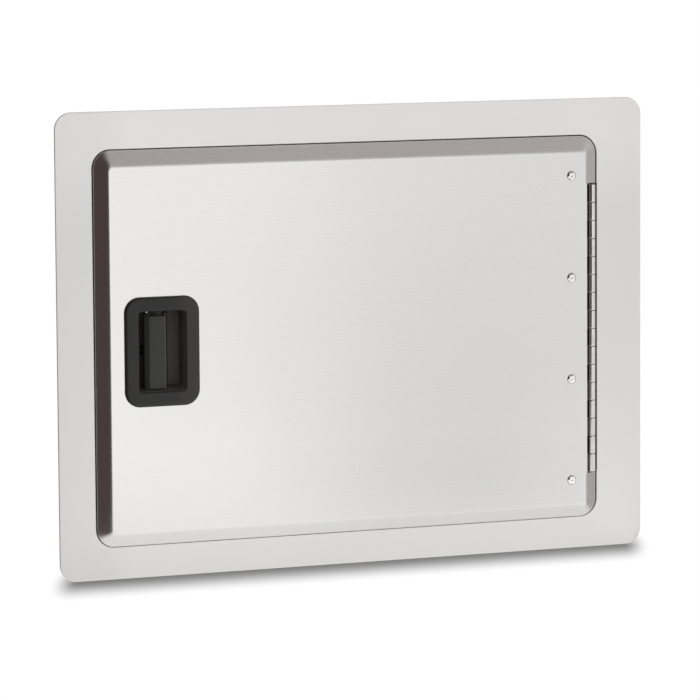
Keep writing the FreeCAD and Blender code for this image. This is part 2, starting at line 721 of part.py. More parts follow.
def jamb_rivets():
    """Small rivets that hold the fixed leaf to the jamb."""
    inner = AXIS_X + BARREL_R - HINGE_SHEET
    outer = OPEN_R + FLANGE_SHEET + JAMB_SHEET
    rivets = []
    for y, z in jamb_rivet_places():
        shank = rod((inner, y, z), (1, 0, 0), SCREW_D / 2, outer - inner)
        head = rod((inner, y, z), (-1, 0, 0), JAMB_RIVET_HEAD_D / 2, JAMB_RIVET_HEAD_H)
        rim = edges_at(head, lambda p: abs(p.x - inner + JAMB_RIVET_HEAD_H) < NEAR)
        head = head.makeFillet(JAMB_RIVET_DOME_R, rim)
        tail = rod((outer, y, z), (1, 0, 0), JAMB_RIVET_HEAD_D / 2, JAMB_RIVET_HEAD_H)
        rivets.append(joined([head, shank, tail]))
    return Part.makeCompound(rivets)


# Latch

def cup_rings(grow, front, rear):
    """Opening and floor of the finger cup, with draft above and below."""
    r = CUP_CORNER_R + grow
    top = CUP_T + grow
    bottom = CUP_B - grow
    span = CUP_FLOOR_Y - BEZEL_Y
    rings = []
    for y in (front, rear):
        part = (y - BEZEL_Y) / span
        rings.append(ring(CUP_L - grow, CUP_R + grow, bottom + part * CUP_DRAFT_BOTTOM,
                          top - part * CUP_DRAFT_TOP, r, y))
    return rings


def boss_block(sign):
    """Boss above or below the cup for the pin end and the clamp screw."""
    start = FACE_BACK_Y + CUT_CLEARANCE
    x0 = PIVOT_X - HUB_R - CUP_WALL
    if sign > 0:
        low, high = CUP_T - CUP_DRAFT_TOP, CUP_T + BOSS_HEIGHT
    else:
        low, high = CUP_B - BOSS_HEIGHT, CUP_B + CUP_DRAFT_BOTTOM
    return box(x0, x0 + BOSS_WIDTH, start, CLAMP_SEAT_Y, low, high)


def clamp_screw_place(sign):
    """Axis of a clamp screw in the upper or lower boss."""
    x = PIVOT_X - HUB_R - CUP_WALL + CLAMP_SCREW_OFFSET
    beyond = CUP_WALL + BOLT_CLEARANCE + CLAMP_HEIGHT / 2
    z = CUP_T + beyond if sign > 0 else CUP_B - beyond
    return x, z


def tail_slot(y0, y1):
    """Slot in the cup floor that the paddle tail swings in."""
    y1 += OVERSHOOT
    swing = (y1 - PIVOT_Y) * math.tan(math.radians(PADDLE_SWING_DEG))
    left = PIVOT_X - TAIL_SHEET / 2 - TAIL_SIDE_CLEARANCE
    right = PIVOT_X + swing + TAIL_SHEET / 2 + TAIL_SIDE_CLEARANCE + BOLT_CLEARANCE
    reach = TAIL_WIDTH / 2 + TAIL_END_CLEARANCE
    return box(left, right, y0 - OVERSHOOT, y1, LATCH_Z - reach, LATCH_Z + reach)


def cover_screw_places():
    """Four screws around the bolt guide cover."""
    inset = COVER_FLANGE / 2 + COVER_SHEET
    z = BOLT_HEIGHT / 2 + BOLT_CLEARANCE + inset
    xs = (COVER_L + COVER_FLANGE, COVER_L + COVER_LENGTH - COVER_FLANGE)
    return [(x, LATCH_Z + sign * z) for x in xs for sign in (-1, 1)]


def latch_housing():
    """Bezel and finger cup in one moulding, with bosses behind."""
    half_w = BEZEL_WIDTH / 2
    half_h = BEZEL_HEIGHT / 2
    bezel = slab(LATCH_X - half_w, LATCH_X + half_w, LATCH_Z - half_h, LATCH_Z + half_h,
                 BEZEL_CORNER_R, BEZEL_Y, GASKET_Y)
    bezel = bezel.makeChamfer(BEZEL_CHAMFER, edges_on(bezel, BEZEL_Y))
    body = stack(cup_rings(CUP_WALL, GASKET_Y - BEZEL_SHEET / 2, CUP_BACK_Y))
    hollow = stack(cup_rings(0, BEZEL_Y - OVERSHOOT, CUP_FLOOR_Y))
    moulding = joined([bezel, body, boss_block(1), boss_block(-1)]).cut(hollow)

    def on_cup_lip(p):
        near_x = abs(p.x - LATCH_X) <= CUP_WIDTH / 2 + OVERSHOOT
        near_z = abs(p.z - LATCH_Z) <= CUP_HEIGHT / 2 + OVERSHOOT
        return abs(p.y - BEZEL_Y) < NEAR and near_x and near_z

    moulding = moulding.makeFillet(CUP_LIP_R, edges_at(moulding, on_cup_lip))
    bosses = []
    root = CUP_BACK_Y - CUP_WALL / 2
    depth = COVER_BOSS_H + CUP_WALL / 2
    for x, z in cover_screw_places():
        bosses.append(rod((x, root, z), (0, 1, 0), SCREW_HEAD_D / 2, depth))
    reach = BOLT_HEIGHT / 2
    for x0, x1 in bolt_pad_spans():
        bosses.append(box(x0, x1, root, BOLT_Y - BOLT_CLEARANCE / 2, LATCH_Z - reach, LATCH_Z + reach))
    moulding = joined([moulding] + bosses)
    moulding = moulding.cut(tail_slot(CUP_FLOOR_Y, CUP_BACK_Y))
    moulding = moulding.cut(paddle_pin(BOSS_PIN_CLEARANCE))
    for sign in (-1, 1):
        x, z = clamp_screw_place(sign)
        start = (x, CLAMP_SEAT_Y - SCREW_BITE, z)
        moulding = moulding.cut(rod(start, (0, 1, 0), SCREW_D / 2, SCREW_BITE + OVERSHOOT))
    for x, z in cover_screw_places():
        moulding = moulding.cut(rod((x, root, z), (0, 1, 0), SCREW_D / 2, depth + OVERSHOOT))
    return moulding


def bolt_pad_spans():
    """Two pads on the back of the cup that the bolt slides on."""
    right_end = COVER_L + COVER_LENGTH
    return [(COVER_L, COVER_L + BOLT_PAD_WIDTH), (right_end - BOLT_PAD_WIDTH, right_end)]


def latch_gasket():
    """Thin gasket between bezel and door face."""
    half_w = BEZEL_WIDTH / 2 - GASKET_INSET
    half_h = BEZEL_HEIGHT / 2 - GASKET_INSET
    sheet = slab(LATCH_X - half_w, LATCH_X + half_w, LATCH_Z - half_h, LATCH_Z + half_h,
                 BEZEL_CORNER_R - GASKET_INSET, GASKET_Y, FACE_Y)
    return sheet.cut(latch_cutout(GASKET_Y, FACE_Y))


def latch_paddle():
    """Pull plate with a grip lip, a hub on the pin and a tail that drives the bolt."""
    front = FACE_Y + PADDLE_BELOW_FACE
    back = front + PADDLE_SHEET
    z0 = LATCH_Z - PADDLE_HEIGHT / 2
    z1 = LATCH_Z + PADDLE_HEIGHT / 2
    left = PIVOT_X + PADDLE_FROM_PIVOT
    right = left + PADDLE_WIDTH
    plate = box(left, right, front, back, z0, z1)
    lip = box(right - PADDLE_SHEET, right, back - OVERSHOOT, back + PADDLE_LIP, z0, z1)
    hub = rod((PIVOT_X, PIVOT_Y, z0), (0, 0, 1), HUB_R, z1 - z0)
    shape = joined([plate, lip, hub])
    outer = [e for e in edges_on(shape, front) if abs(e.Length - PADDLE_HEIGHT) < NEAR]
    shape = shape.makeFillet(PADDLE_EDGE_R, outer)
    half = TAIL_WIDTH / 2
    tail = box(PIVOT_X - TAIL_SHEET / 2, PIVOT_X + TAIL_SHEET / 2, PIVOT_Y, PIVOT_Y + TAIL_LENGTH,
               LATCH_Z - half, LATCH_Z + half)
    tip = rod((PIVOT_X, PIVOT_Y + TAIL_LENGTH, LATCH_Z - half), (0, 0, 1), TAIL_TIP_R, TAIL_WIDTH)
    shape = joined([shape, tail, tip])
    bore = PADDLE_PIN_D / 2 + PIN_CLEARANCE
    start = (PIVOT_X, PIVOT_Y, z0 - OVERSHOOT)
    shape = shape.cut(rod(start, (0, 0, 1), bore, PADDLE_HEIGHT + 2 * OVERSHOOT))
    low, high = spring_span()
    clear = SPRING_MEAN_R + SPRING_WIRE + PIN_CLEARANCE
    pocket = rod((PIVOT_X, PIVOT_Y, low), (0, 0, 1), clear, high - low)
    window = box(PIVOT_X - clear - OVERSHOOT, PIVOT_X + clear,
                 PIVOT_Y, PIVOT_Y + clear + OVERSHOOT, low, high)
    return shape.cut(pocket).cut(window)


def spring_span():
    """Heights between which the return spring sits in the hub."""
    low = LATCH_Z + TAIL_WIDTH
    return low, low + (SPRING_TURNS + 1) * SPRING_PITCH + 2 * SPRING_WIRE


def paddle_pin(grow=0.0):
    """Upright pivot pin held in the bosses above and below the cup."""
    low = CUP_B - PIN_IN_BOSS - grow
    high = CUP_T + PIN_IN_BOSS + grow
    return rod((PIVOT_X, PIVOT_Y, low), (0, 0, 1), PADDLE_PIN_D / 2 + grow, high - low)


def paddle_spring():
    """Torsion spring on the pin: turns of half arcs, with one leg on the paddle."""
    low, high = spring_span()
    r = SPRING_MEAN_R
    start_z = low + SPRING_WIRE
    edges = []

    def at(half_turns):
        angle = math.pi * half_turns
        return Vector(PIVOT_X + r * math.cos(angle), PIVOT_Y + r * math.sin(angle),
                      start_z + half_turns * SPRING_PITCH / 2)

    for k in range(2 * SPRING_TURNS):
        edges.append(Part.Arc(at(k), at(k + 0.5), at(k + 1)).toShape())
    last = edges[-1]
    tangent = last.tangentAt(last.LastParameter)
    end = at(2 * SPRING_TURNS)
    edges.append(Part.LineSegment(end, end + tangent * SPRING_LEG).toShape())
    path = Part.Wire(edges)
    first = edges[0].tangentAt(edges[0].FirstParameter)
    profile = Part.Wire([Part.makeCircle(SPRING_WIRE / 2, at(0), first)])
    return path.makePipeShell([profile], True, False)


def latch_bolt():
    """Sliding bolt with a ramped nose and a window for the paddle tail."""
    z0 = LATCH_Z - BOLT_HEIGHT / 2
    end = PIVOT_X + BOLT_TAIL_END
    loop = [
        (BOLT_TIP_X, BOLT_Y), (end, BOLT_Y), (end, BOLT_REAR_Y),
        (BOLT_TIP_X + BOLT_RAMP, BOLT_REAR_Y), (BOLT_TIP_X, BOLT_Y + BOLT_NOSE), (BOLT_TIP_X, BOLT_Y),
    ]
    wire = Part.makePolygon([Vector(x, y, z0) for x, y in loop])
    bolt = Part.Face(wire).extrude(Vector(0, 0, BOLT_HEIGHT))
    half = TAIL_TIP_R + BOLT_WINDOW_CLEARANCE
    reach = TAIL_WIDTH / 2 + TAIL_END_CLEARANCE
    window = box(PIVOT_X - half, PIVOT_X + half, BOLT_Y - OVERSHOOT, BOLT_REAR_Y + OVERSHOOT,
                 LATCH_Z - reach, LATCH_Z + reach)
    bolt = bolt.cut(window)
    at_end = edges_at(bolt, lambda p: abs(p.x - end) < NEAR)
    corners = [e for e in at_end if abs(e.Length - BOLT_THICKNESS) < NEAR]
    return bolt.makeFillet(BOLT_END_R, corners)


def bolt_cover():
    """Channel that keeps the bolt on its pads, with flanges on the cup bosses."""
    t = COVER_SHEET / 2
    inner = BOLT_HEIGHT / 2 + BOLT_CLEARANCE
    base = CUP_BACK_Y + COVER_BOSS_H + t
    crest = BOLT_REAR_Y + BOLT_CLEARANCE + t
    edge = inner + COVER_SHEET + COVER_FLANGE
    points = [(-edge, base), (-inner - t, base), (-inner - t, crest),
              (inner + t, crest), (inner + t, base), (edge, base)]

    def place(u, v):
        return Vector(COVER_L, v, LATCH_Z + u)

    cover = bent_sheet(points, COVER_SHEET, COVER_BEND_R, place, (COVER_LENGTH, 0, 0))
    hole = SCREW_D / 2 + RIVET_HOLE_CLEARANCE
    for x, z in cover_screw_places():
        cover = cover.cut(rod((x, base - COVER_SHEET, z), (0, 1, 0), hole, 2 * COVER_SHEET))
    return cover


def pan_screw(x, y, z, direction, grip, bite):
    """Pan-head screw: the head sits at a point, the shank runs along a direction."""
    back = tuple(-d for d in direction)
    head = rod((x, y, z), back, SCREW_HEAD_D / 2, SCREW_HEAD_H)
    tip = Vector(x, y, z) + Vector(*back) * SCREW_HEAD_H
    rim = edges_at(head, lambda p: (p - tip).Length < NEAR)
    head = head.makeFillet(SCREW_DOME_R, rim)
    shank = rod((x, y, z), direction, SCREW_D / 2, grip + bite)
    cross = []
    for turn in (0, 90):
        bar = Part.makeBox(SCREW_D, RECESS_WIDTH, RECESS_DEPTH + OVERSHOOT,
                           Vector(-SCREW_D / 2, -RECESS_WIDTH / 2, -RECESS_DEPTH))
        bar.rotate(Vector(0, 0, 0), Vector(0, 0, 1), turn)
        cross.append(bar)
    recess = joined(cross)
    recess.Placement = FreeCAD.Placement(tip, FreeCAD.Rotation(Vector(0, 0, 1), Vector(*back)))
    return joined([head, shank]).cut(recess)


def cover_screws():
    """Screws that hold the bolt guide cover to the cup."""
    y = CUP_BACK_Y + COVER_BOSS_H + COVER_SHEET
    bite = COVER_BOSS_H - SCREW_TIP_CLEARANCE
    screws = [pan_screw(x, y, z, (0, -1, 0), COVER_SHEET, bite) for x, z in cover_screw_places()]
    return Part.makeCompound(screws)


def latch_clamp(sign):
    """Bridge over a boss whose feet press on the back of the door face."""
    x, z = clamp_screw_place(sign)
    t = CLAMP_SHEET / 2
    half = CUP_WIDTH / 2 + CUP_WALL + CUT_CLEARANCE + CLAMP_SIDE_CLEARANCE + t
    bridge = CLAMP_SEAT_Y + t
    foot = FACE_BACK_Y + t
    points = [(-half - CLAMP_FOOT, foot), (-half, foot), (-half, bridge), (half, bridge), (half, foot),
              (half + CLAMP_FOOT, foot)]

    def place(u, v):
        return Vector(LATCH_X + u, v, z - CLAMP_HEIGHT / 2)

    clamp = bent_sheet(points, CLAMP_SHEET, SHEET_BEND_R, place, (0, 0, CLAMP_HEIGHT))
    hole = SCREW_D / 2 + RIVET_HOLE_CLEARANCE
    return clamp.cut(rod((x, bridge - CLAMP_SHEET, z), (0, 1, 0), hole, 2 * CLAMP_SHEET))


def clamp_screws():
    """Screws that pull the clamps and the housing together."""
    y = CLAMP_SEAT_Y + CLAMP_SHEET
    bite = SCREW_BITE - SCREW_TIP_CLEARANCE
    screws = []
    for sign in (-1, 1):
        x, z = clamp_screw_place(sign)
        screws.append(pan_screw(x, y, z, (0, -1, 0), CLAMP_SHEET, bite))
    return Part.makeCompound(screws)


# Strike on the latch-side jamb

def strike_slot():
    """Slot for the bolt through strike plate and jamb."""
    c = STRIKE_SLOT_CLEARANCE
    half = BOLT_HEIGHT / 2 + c
    start = WEB_X - JAMB_SHEET - OVERSHOOT
    end = WEB_X + STRIKE_SHEET + OVERSHOOT
    return box(start, end, BOLT_Y - c / 2, BOLT_REAR_Y + c, LATCH_Z - half, LATCH_Z + half)


def strike_screw_places():
    """Two screws behind the slot."""
    y = BOLT_REAR_Y + STRIKE_SLOT_CLEARANCE + STRIKE_SCREW_SETBACK
    reach = STRIKE_HEIGHT / 2 - SCREW_HEAD_D
    return [(y, LATCH_Z - reach), (y, LATCH_Z + reach)]


def strike_screw_holes():
    """Cutters for the strike screws."""
    start = WEB_X - JAMB_SHEET - OVERSHOOT
    hole = SCREW_D / 2 + RIVET_HOLE_CLEARANCE
    length = JAMB_SHEET + STRIKE_SHEET + 2 * OVERSHOOT
    return [rod((start, y, z), (1, 0, 0), hole, length) for y, z in strike_screw_places()]


def strike_plate():
    """Wear plate around the bolt slot, on the inner face of the jamb."""
    y0 = STOP_REAR_Y + LEAF_TO_STOP
    half = STRIKE_HEIGHT / 2
    plate = box(WEB_X, WEB_X + STRIKE_SHEET, y0, y0 + STRIKE_DEPTH, LATCH_Z - half, LATCH_Z + half)
    corners = [e for e in plate.Edges if abs(e.Length - STRIKE_SHEET) < NEAR]
    plate = plate.makeFillet(STRIKE_CORNER_R, corners)
    return plate.cut(strike_slot()).cut(joined(strike_screw_holes()))


def strike_screws():
    """Screws through the strike plate and the jamb."""
    x = WEB_X + STRIKE_SHEET
    grip = STRIKE_SHEET + JAMB_SHEET
    screws = [pan_screw(x, y, z, (-1, 0, 0), grip, SCREW_D) for y, z in strike_screw_places()]
    return Part.makeCompound(screws)


# Every piece under the name it is stored by
PIECES = {
    "face_frame": face_frame,
    "jamb_top": lambda: jamb_strip("top"),
    "jamb_bottom": lambda: jamb_strip("bottom"),
    "jamb_latch_side": jamb_latch_side,
    "jamb_hinge_side": jamb_hinge_side,
    "stop_bumpers": stop_bumpers,
    "strike_plate": strike_plate,
    "strike_screws": strike_screws,
    "hinge_frame_leaf": hinge_frame_leaf,
    "hinge_pin": hinge_pin,
    "hinge_spacer": hinge_spacer,
    "jamb_rivets": jamb_rivets,
    "door_skin": door_skin,
    "door_stiffener_upper": lambda: door_stiffener(MOUNT_Z + STIFFENER_Z),
    "door_stiffener_lower": lambda: door_stiffener(MOUNT_Z - STIFFENER_Z),
    "hinge_door_leaf": hinge_door_leaf,
    "hinge_backing_strip": hinge_backing_strip,
    "door_rivets": door_rivets,
    "latch_housing": latch_housing,
    "latch_gasket": latch_gasket,
    "latch_clamp_upper": lambda: latch_clamp(1),
    "latch_clamp_lower": lambda: latch_clamp(-1),
    "clamp_screws": clamp_screws,
    "bolt_cover": bolt_cover,
    "cover_screws": cover_screws,
    "paddle_pin": paddle_pin,
    "latch_paddle": latch_paddle,
    "paddle_spring": paddle_spring,
    "latch_bolt": latch_bolt,
}


def main():
    """Build every piece and write it as one STEP file."""
    os.makedirs("parts", exist_ok=True)
    for name, make in PIECES.items():
        shape = make()
        state = "valid" if shape.isValid() else "NOT VALID"
        print(f"{name}: {len(shape.Solids)} solid(s), {shape.Volume / 1000:.2f} cm3, {state}")
        shape.exportStep(f"parts/{name}.step")
    print(f"bolt travel {BOLT_TRAVEL:.3f} mm, hinge axis x {AXIS_X:.3f} y {AXIS_Y:.3f}")
    print(f"paddle pivot x {PIVOT_X:.3f} y {PIVOT_Y:.3f}")


main()
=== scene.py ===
"""Looks of a stainless access door for an outdoor kitchen island.

The packed model is loaded as a fixed frame. The pieces seen from the front are
modelled again with soft folds and edges, and every other piece of the frame
keeps its shape and gets its own finish. Metres, +Z up, the door faces -Y.
"""

import math

import bmesh
import bpy
from bpy.props import FloatProperty, FloatVectorProperty, IntProperty, PointerProperty
from mathutils import Matrix, Vector


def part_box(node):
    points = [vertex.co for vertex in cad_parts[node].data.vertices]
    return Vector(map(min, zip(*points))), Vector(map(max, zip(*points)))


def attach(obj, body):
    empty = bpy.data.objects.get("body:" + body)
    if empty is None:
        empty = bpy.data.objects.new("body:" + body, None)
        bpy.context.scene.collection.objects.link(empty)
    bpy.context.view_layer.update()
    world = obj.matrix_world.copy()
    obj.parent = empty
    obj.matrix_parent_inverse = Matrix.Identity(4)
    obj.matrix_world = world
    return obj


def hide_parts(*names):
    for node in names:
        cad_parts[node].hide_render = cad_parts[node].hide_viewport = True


bl_info = {
    "name": "Island Access Door",
    "version": (1, 0, 0),
    "blender": (4, 5, 0),
    "location": "3D View > Sidebar > Access Door",
    "description": "Builds the looks of a stainless island access door",
    "category": "Object",
}

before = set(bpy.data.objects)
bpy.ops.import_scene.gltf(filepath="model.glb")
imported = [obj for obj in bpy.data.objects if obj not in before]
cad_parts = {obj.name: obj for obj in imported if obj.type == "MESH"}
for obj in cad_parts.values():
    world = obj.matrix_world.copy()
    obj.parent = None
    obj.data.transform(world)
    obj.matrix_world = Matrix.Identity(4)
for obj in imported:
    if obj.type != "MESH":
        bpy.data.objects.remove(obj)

FLANGE_LOW, FLANGE_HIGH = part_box("face_frame")
PAN_LOW, PAN_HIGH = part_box("door_skin")
LATCH_LOW, LATCH_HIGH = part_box("latch_housing")
PADDLE_LOW, PADDLE_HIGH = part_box("latch_paddle")
GASKET_LOW, GASKET_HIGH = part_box("latch_gasket")
PIN_LOW, PIN_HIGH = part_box("hinge_pin")
PIVOT_LOW, PIVOT_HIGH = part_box("paddle_pin")
RIVETS_LOW, RIVETS_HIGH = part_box("door_rivets")
SPRING_LOW, SPRING_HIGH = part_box("paddle_spring")

FRONT = Vector((0, -1, 0))

# Vertices closer than the first are welded, and a vertex closer than the second lies on a line
WELD = 1e-7
NEAR = 1e-6

# Painted shade: shares of a piece's own colour at places across (X) and up (Z) the piece, which paint the
# flange and the door darker towards their lower parts and sides, where less light falls
FLANGE_PAINTED_SHADE = {
    "X": {FLANGE_LOW.x: 0.94, FLANGE_LOW.x + 0.05: 0.95, FLANGE_LOW.x + 0.08: 1.0,
          FLANGE_HIGH.x - 0.05: 1.0, FLANGE_HIGH.x: 0.98},
    "Z": {FLANGE_LOW.z: 0.89, -0.12: 0.895, 0.12: 0.912, 0.2: 1.0}}
DOOR_PAINTED_SHADE = {
    "X": {-0.22: 0.985, -0.15: 1.0, -0.055: 0.985, 0.035: 0.945, 0.12: 0.935, 0.21: 0.93},
    "Z": {-0.20: 0.90, -0.11: 0.985, 0.15: 1.0}}

# Painted shade as such shares at distances from the hinge axis, dark in the gap beside the barrel and at
# the barrel's right rim, and from the rivets' seat, dark at the rim of each head
BARREL_PAINTED_SHADE = {
    -0.0150: 1.0, -0.0120: 0.15, -0.0044: 0.08, -0.0038: 0.5, -0.0030: 1.0,
    0.0020: 1.0, 0.0027: 0.10, 0.0046: 0.05}
RIVET_PAINTED_SHADE = {-0.0006: 1.0, -0.0003: 0.35, 0.0: 0.2}


def length(name, description, default):
    """A size that a user may change, shown in the scene's units."""
    return FloatProperty(
        name=name, description=description, default=default, min=0.0, unit="LENGTH", precision=5)


def angle(name, description, default):
    """An angle that a user may change."""
    return FloatProperty(name=name, description=description, default=default, subtype="ANGLE")


def tint(name, description, default):
    """A colour that a user may change."""
    return FloatVectorProperty(
        name=name, description=description, default=default, size=3, min=0.0, max=1.0, subtype="COLOR")


def share(name, description, default, top=1.0):
    """A plain number between nought and a top value."""
    return FloatProperty(
        name=name, description=description, default=default, min=0.0, max=top, subtype="FACTOR")


class FlangeSettings(bpy.types.PropertyGroup):
    """Sizes of the flat frame round the door"""

    corner_radius: length("Corner Radius", "Radius of the outer corners", 0.018)
    opening_radius: length("Opening Radius", "Corner radius of the opening", 0.0195)
    roll_radius: length("Rolled Edge", "Radius of the edge that rolls back into the opening", 0.0012)
    roll_below: share("Roll Below", "Share of the rolled edge's width under the door", 0.1)
    edge_radius: length("Outer Edge", "Rounding of the outer edge", 0.0004)
    sheet: length("Sheet", "Thickness of the sheet", 0.0015)
    margin_latch: length("Margin At Latch", "Width of the flange at the latch side", 0.0400)
    margin_hinge: length("Margin At Hinge", "Width of the flange at the hinge side", 0.0523)
    margin_top: length("Margin At Top", "Width of the flange above the door", 0.0390)
    margin_bottom: length("Margin At Bottom", "Width of the flange below the door", 0.0332)


class PanSettings(bpy.types.PropertyGroup):
    """Sizes of the bevelled door pan"""

    rise: length("Rise", "How far the face stands in front of the flange", 0.009)
    sheet: length("Sheet", "Thickness of the sheet", 0.0012)
    bevel_latch: length("Bevel At Latch", "Width of the bevel at the latch side", 0.0125)
    bevel_hinge: length("Bevel At Hinge", "Width of the bevel at the hinge side", 0.0159)
    bevel_top: length("Bevel At Top", "Width of the upper bevel", 0.0160)
    bevel_bottom: length("Bevel At Bottom", "Width of the lower bevel", 0.0124)
    corner_radius: length("Corner Radius", "Radius of the pan's outer corners", 0.0185)
    face_radius: length("Face Corner", "Radius where the bevels meet at the face", 0.005)
    fold: length("Fold", "Softness of the fold between bevel and face", 0.0022)
    edge: length("Edge", "Softness of the bend between bevel and side wall", 0.0012)
    lip: length("Return Lip", "Width of the lip folded in at the back", 0.012)
    notch_clearance: length("Notch Clearance", "Space above and below the hinge barrel", 0.0014)
    notch_setback: length("Notch Setback", "How far inside the fold the notch starts", 0.0024)
    reach_below: length("Reach Below", "How far the lower edge comes closer to the flange", 0.0004)
    reach_hinge: length("Reach At Hinge", "How far the hinge edge comes closer to the flange", 0.0003)
    face_gap: length("Face Gap", "Space between the face's edge and the hinge barrel", 0.0032)
    hole_radius: length("Latch Hole", "Corner radius of the hole for the latch", 0.004)


class HingeSettings(bpy.types.PropertyGroup):
    """Sizes of the continuous hinge and the rivets"""

    knuckles: IntProperty(name="Knuckles", description="Number of knuckles on the pin", default=16, min=2)
    gap: length("Knuckle Gap", "Space between two knuckles", 0.0005)
    sheet: length("Leaf", "Thickness of the leaves", 0.0016)
    pin: length("Pin", "Diameter of the hinge pin", 0.00635)
    stake: length("Pin Ends", "How far the pin stands out past the barrel", 0.0006)
    rounding: length("Knuckle Edge", "Rounding of a knuckle's ends", 0.00035)
    leaf_edge: length("Leaf Edge", "Rounding of the leaves' edges", 0.0002)
    leaf_gap: length("Leaf Gap", "Space between a leaf and the other leaf's knuckles", 0.0006)
    joggle: length("Joggle", "How far the door leaf steps back beside the barrel", 0.0038)
    relief: length("Relief", "Distance from the axis to the leaf past the barrel's ends", 0.016)
    rivets: IntProperty(name="Rivets", description="Number of rivets in the face", default=4, min=2)
    rivet_head: length("Rivet Head", "Diameter of a rivet's head", 0.0103)
    rivet_rise: length("Rivet Rise", "Height of a rivet's head", 0.0015)
    rivet_shoulder: length("Rivet Shoulder", "Rounding at the rim of a rivet's head", 0.0003)
    mandrel: length("Mandrel Hole", "Diameter of the hole left by the mandrel", 0.0026)
    shank: length("Rivet Shank", "Radius of a rivet's shank", 0.0024)
    tail: length("Rivet Tail", "Radius of a rivet's set tail", 0.0036)
    tail_height: length("Tail Height", "Height of the set tail", 0.003)


class LatchSettings(bpy.types.PropertyGroup):
    """Sizes of the flush latch"""

    bezel_radius: length("Bezel Corner", "Corner radius of the bezel", 0.0165)
    bezel_round: length("Bezel Edge", "Width of the rounding along the bezel's edge", 0.0034)
    bezel_fall: length("Bezel Fall", "Depth of the rounding along the bezel's edge", 0.0019)
    bezel_inset: length("Bezel Inset", "How far the bezel's latch side lies inside its solid", 0.0010)
    rim_side: length("Rim At Sides", "Width of the bezel beside the cup", 0.015)
    rim_end: length("Rim At Ends", "Width of the bezel above and below the cup", 0.0149)
    cup_radius: length("Cup Corner", "Corner radius of the finger cup", 0.004)
    cup_lip: length("Cup Lip", "Rounding where the bezel turns into the cup", 0.0013)
    cup_depth: length("Cup Depth", "Depth of the finger cup", 0.0235)
    cup_wall: length("Cup Wall", "Wall of the cup", 0.002)
    draft_top: length("Upper Draft", "How far the upper wall leans in", 0.0015)
    draft_bottom: length("Lower Draft", "How far the lower wall leans in", 0.005)
    floor_round: length("Floor Round", "Rounding at the foot of the cup", 0.0015)
    pad: length("Floor Pad", "Width of the sloping part of the cup's floor", 0.0125)
    pad_rise: length("Pad Rise", "How far that part comes forward at its right", 0.00195)
    rib: length("Floor Rib", "Width of the rib behind the paddle's edge", 0.0062)
    rib_rise: length("Rib Rise", "Height of that rib", 0.0024)
    boss: length("Boss", "Height of the bosses above and below the cup", 0.009)
    boss_width: length("Boss Width", "Width of those bosses", 0.030)
    boss_step: length("Boss Step", "How far behind the door's face those bosses start", 0.0018)
    boss_depth: length("Boss Depth", "Depth of those bosses", 0.014)
    hole_clearance: length("Hole Clearance", "Space between the latch and its hole in the face", 0.0006)
    slot_left: length("Slot Left", "Reach of the tail's slot to the left of the pin", 0.0023)
    slot_right: length("Slot Right", "Reach of the tail's slot to the right of the pin", 0.0096)
    slot_half: length("Slot Half Height", "Half the height of the tail's slot", 0.0046)
    cover_seat: length("Cover Seat", "Width of the seats for the bolt cover", 0.0072)
    screw_radius: length("Screw Boss", "Radius of the bosses for the cover's screws", 0.003)
    screw_depth: length("Screw Boss Depth", "Depth of those bosses", 0.004)
    screw_side: length("Screw Side", "Distance from the cover's sides to those screws", 0.009)
    screw_end: length("Screw End", "Distance from the cover's ends to those screws", 0.0045)
    paddle_sheet: length("Paddle Sheet", "Thickness of the paddle", 0.003)
    paddle_width: length("Paddle Width", "Width of the paddle's face", 0.0191)
    paddle_round: length("Paddle Edge", "Rounding of the paddle's edges", 0.0012)
    paddle_drop: length("Paddle Drop", "How far the plate reaches below its grip lip", 0.0026)
    paddle_top: length("Paddle Top", "How far the plate ends below the hub", 0.0004)
    grip: length("Grip Lip", "How far the grip lip reaches behind the plate", 0.006)
    hub: length("Hub", "Radius of the paddle's hub", 0.0032)
    web: length("Web", "How far the web over the hub stands in front of the pin's axis", 0.0026)
    web_slope: length("Web Slope", "How far the web comes forward towards the plate", 0.0012)
    tail: length("Tail Half Width", "Half the width of the tail that moves the bolt", 0.0015)
    tail_half: length("Tail Half Height", "Half the height of that tail", 0.004)
    tail_tip: length("Tail Tip", "Radius of the tail's tip", 0.002)


class FinishSettings(bpy.types.PropertyGroup):
    """Colours and textures of the metals and plastics"""

    steel: tint("Brushed Steel", "Colour of the door", (0.95, 0.945, 0.935))
    flange: tint("Flange Steel", "Colour of the flange", (0.975, 0.967, 0.953))
    mill: tint("Plain Steel", "Colour of the jamb and the stiffeners", (0.62, 0.62, 0.61))
    hinge: tint("Hinge Steel", "Colour of the hinge and its rivets", (0.82, 0.81, 0.79))
    zinc: tint("Zinc Plate", "Colour of plated small parts", (0.60, 0.62, 0.64))
    plastic: tint("Black Plastic", "Colour of the latch housing", (0.022, 0.0205, 0.020))
    # Painted light: a paler copy of the black plastic for the inside of the finger cup, standing in for
    # light in the recess
    cup: tint("Cup Plastic", "Colour of the plastic inside the finger cup", (0.095, 0.086, 0.082))
    paddle: tint("Paddle Plastic", "Colour of the paddle", (0.038, 0.0375, 0.0355))
    rubber: tint("Rubber", "Colour of bumpers and gasket", (0.022, 0.022, 0.022))
    brush_depth: share("Brush Depth", "Strength of the brushed lines", 0.15)
    steel_roughness: share("Door Roughness", "Roughness of the door's steel", 0.28)
    flange_roughness: share("Flange Roughness", "Roughness of the flange's steel", 0.40)
    # Painted shade: the lip beside the hinge gets a much darker copy of the flange's steel, standing in for
    # the shade in the gap
    lip_shade: share("Lip Shade", "Share of the flange's colour on the lip beside the hinge", 0.05)
    lip_roughness: share("Lip Roughness", "Roughness of that lip", 0.5)
    anisotropy: share("Brush Direction", "How far the brushing stretches reflections", 0.65)


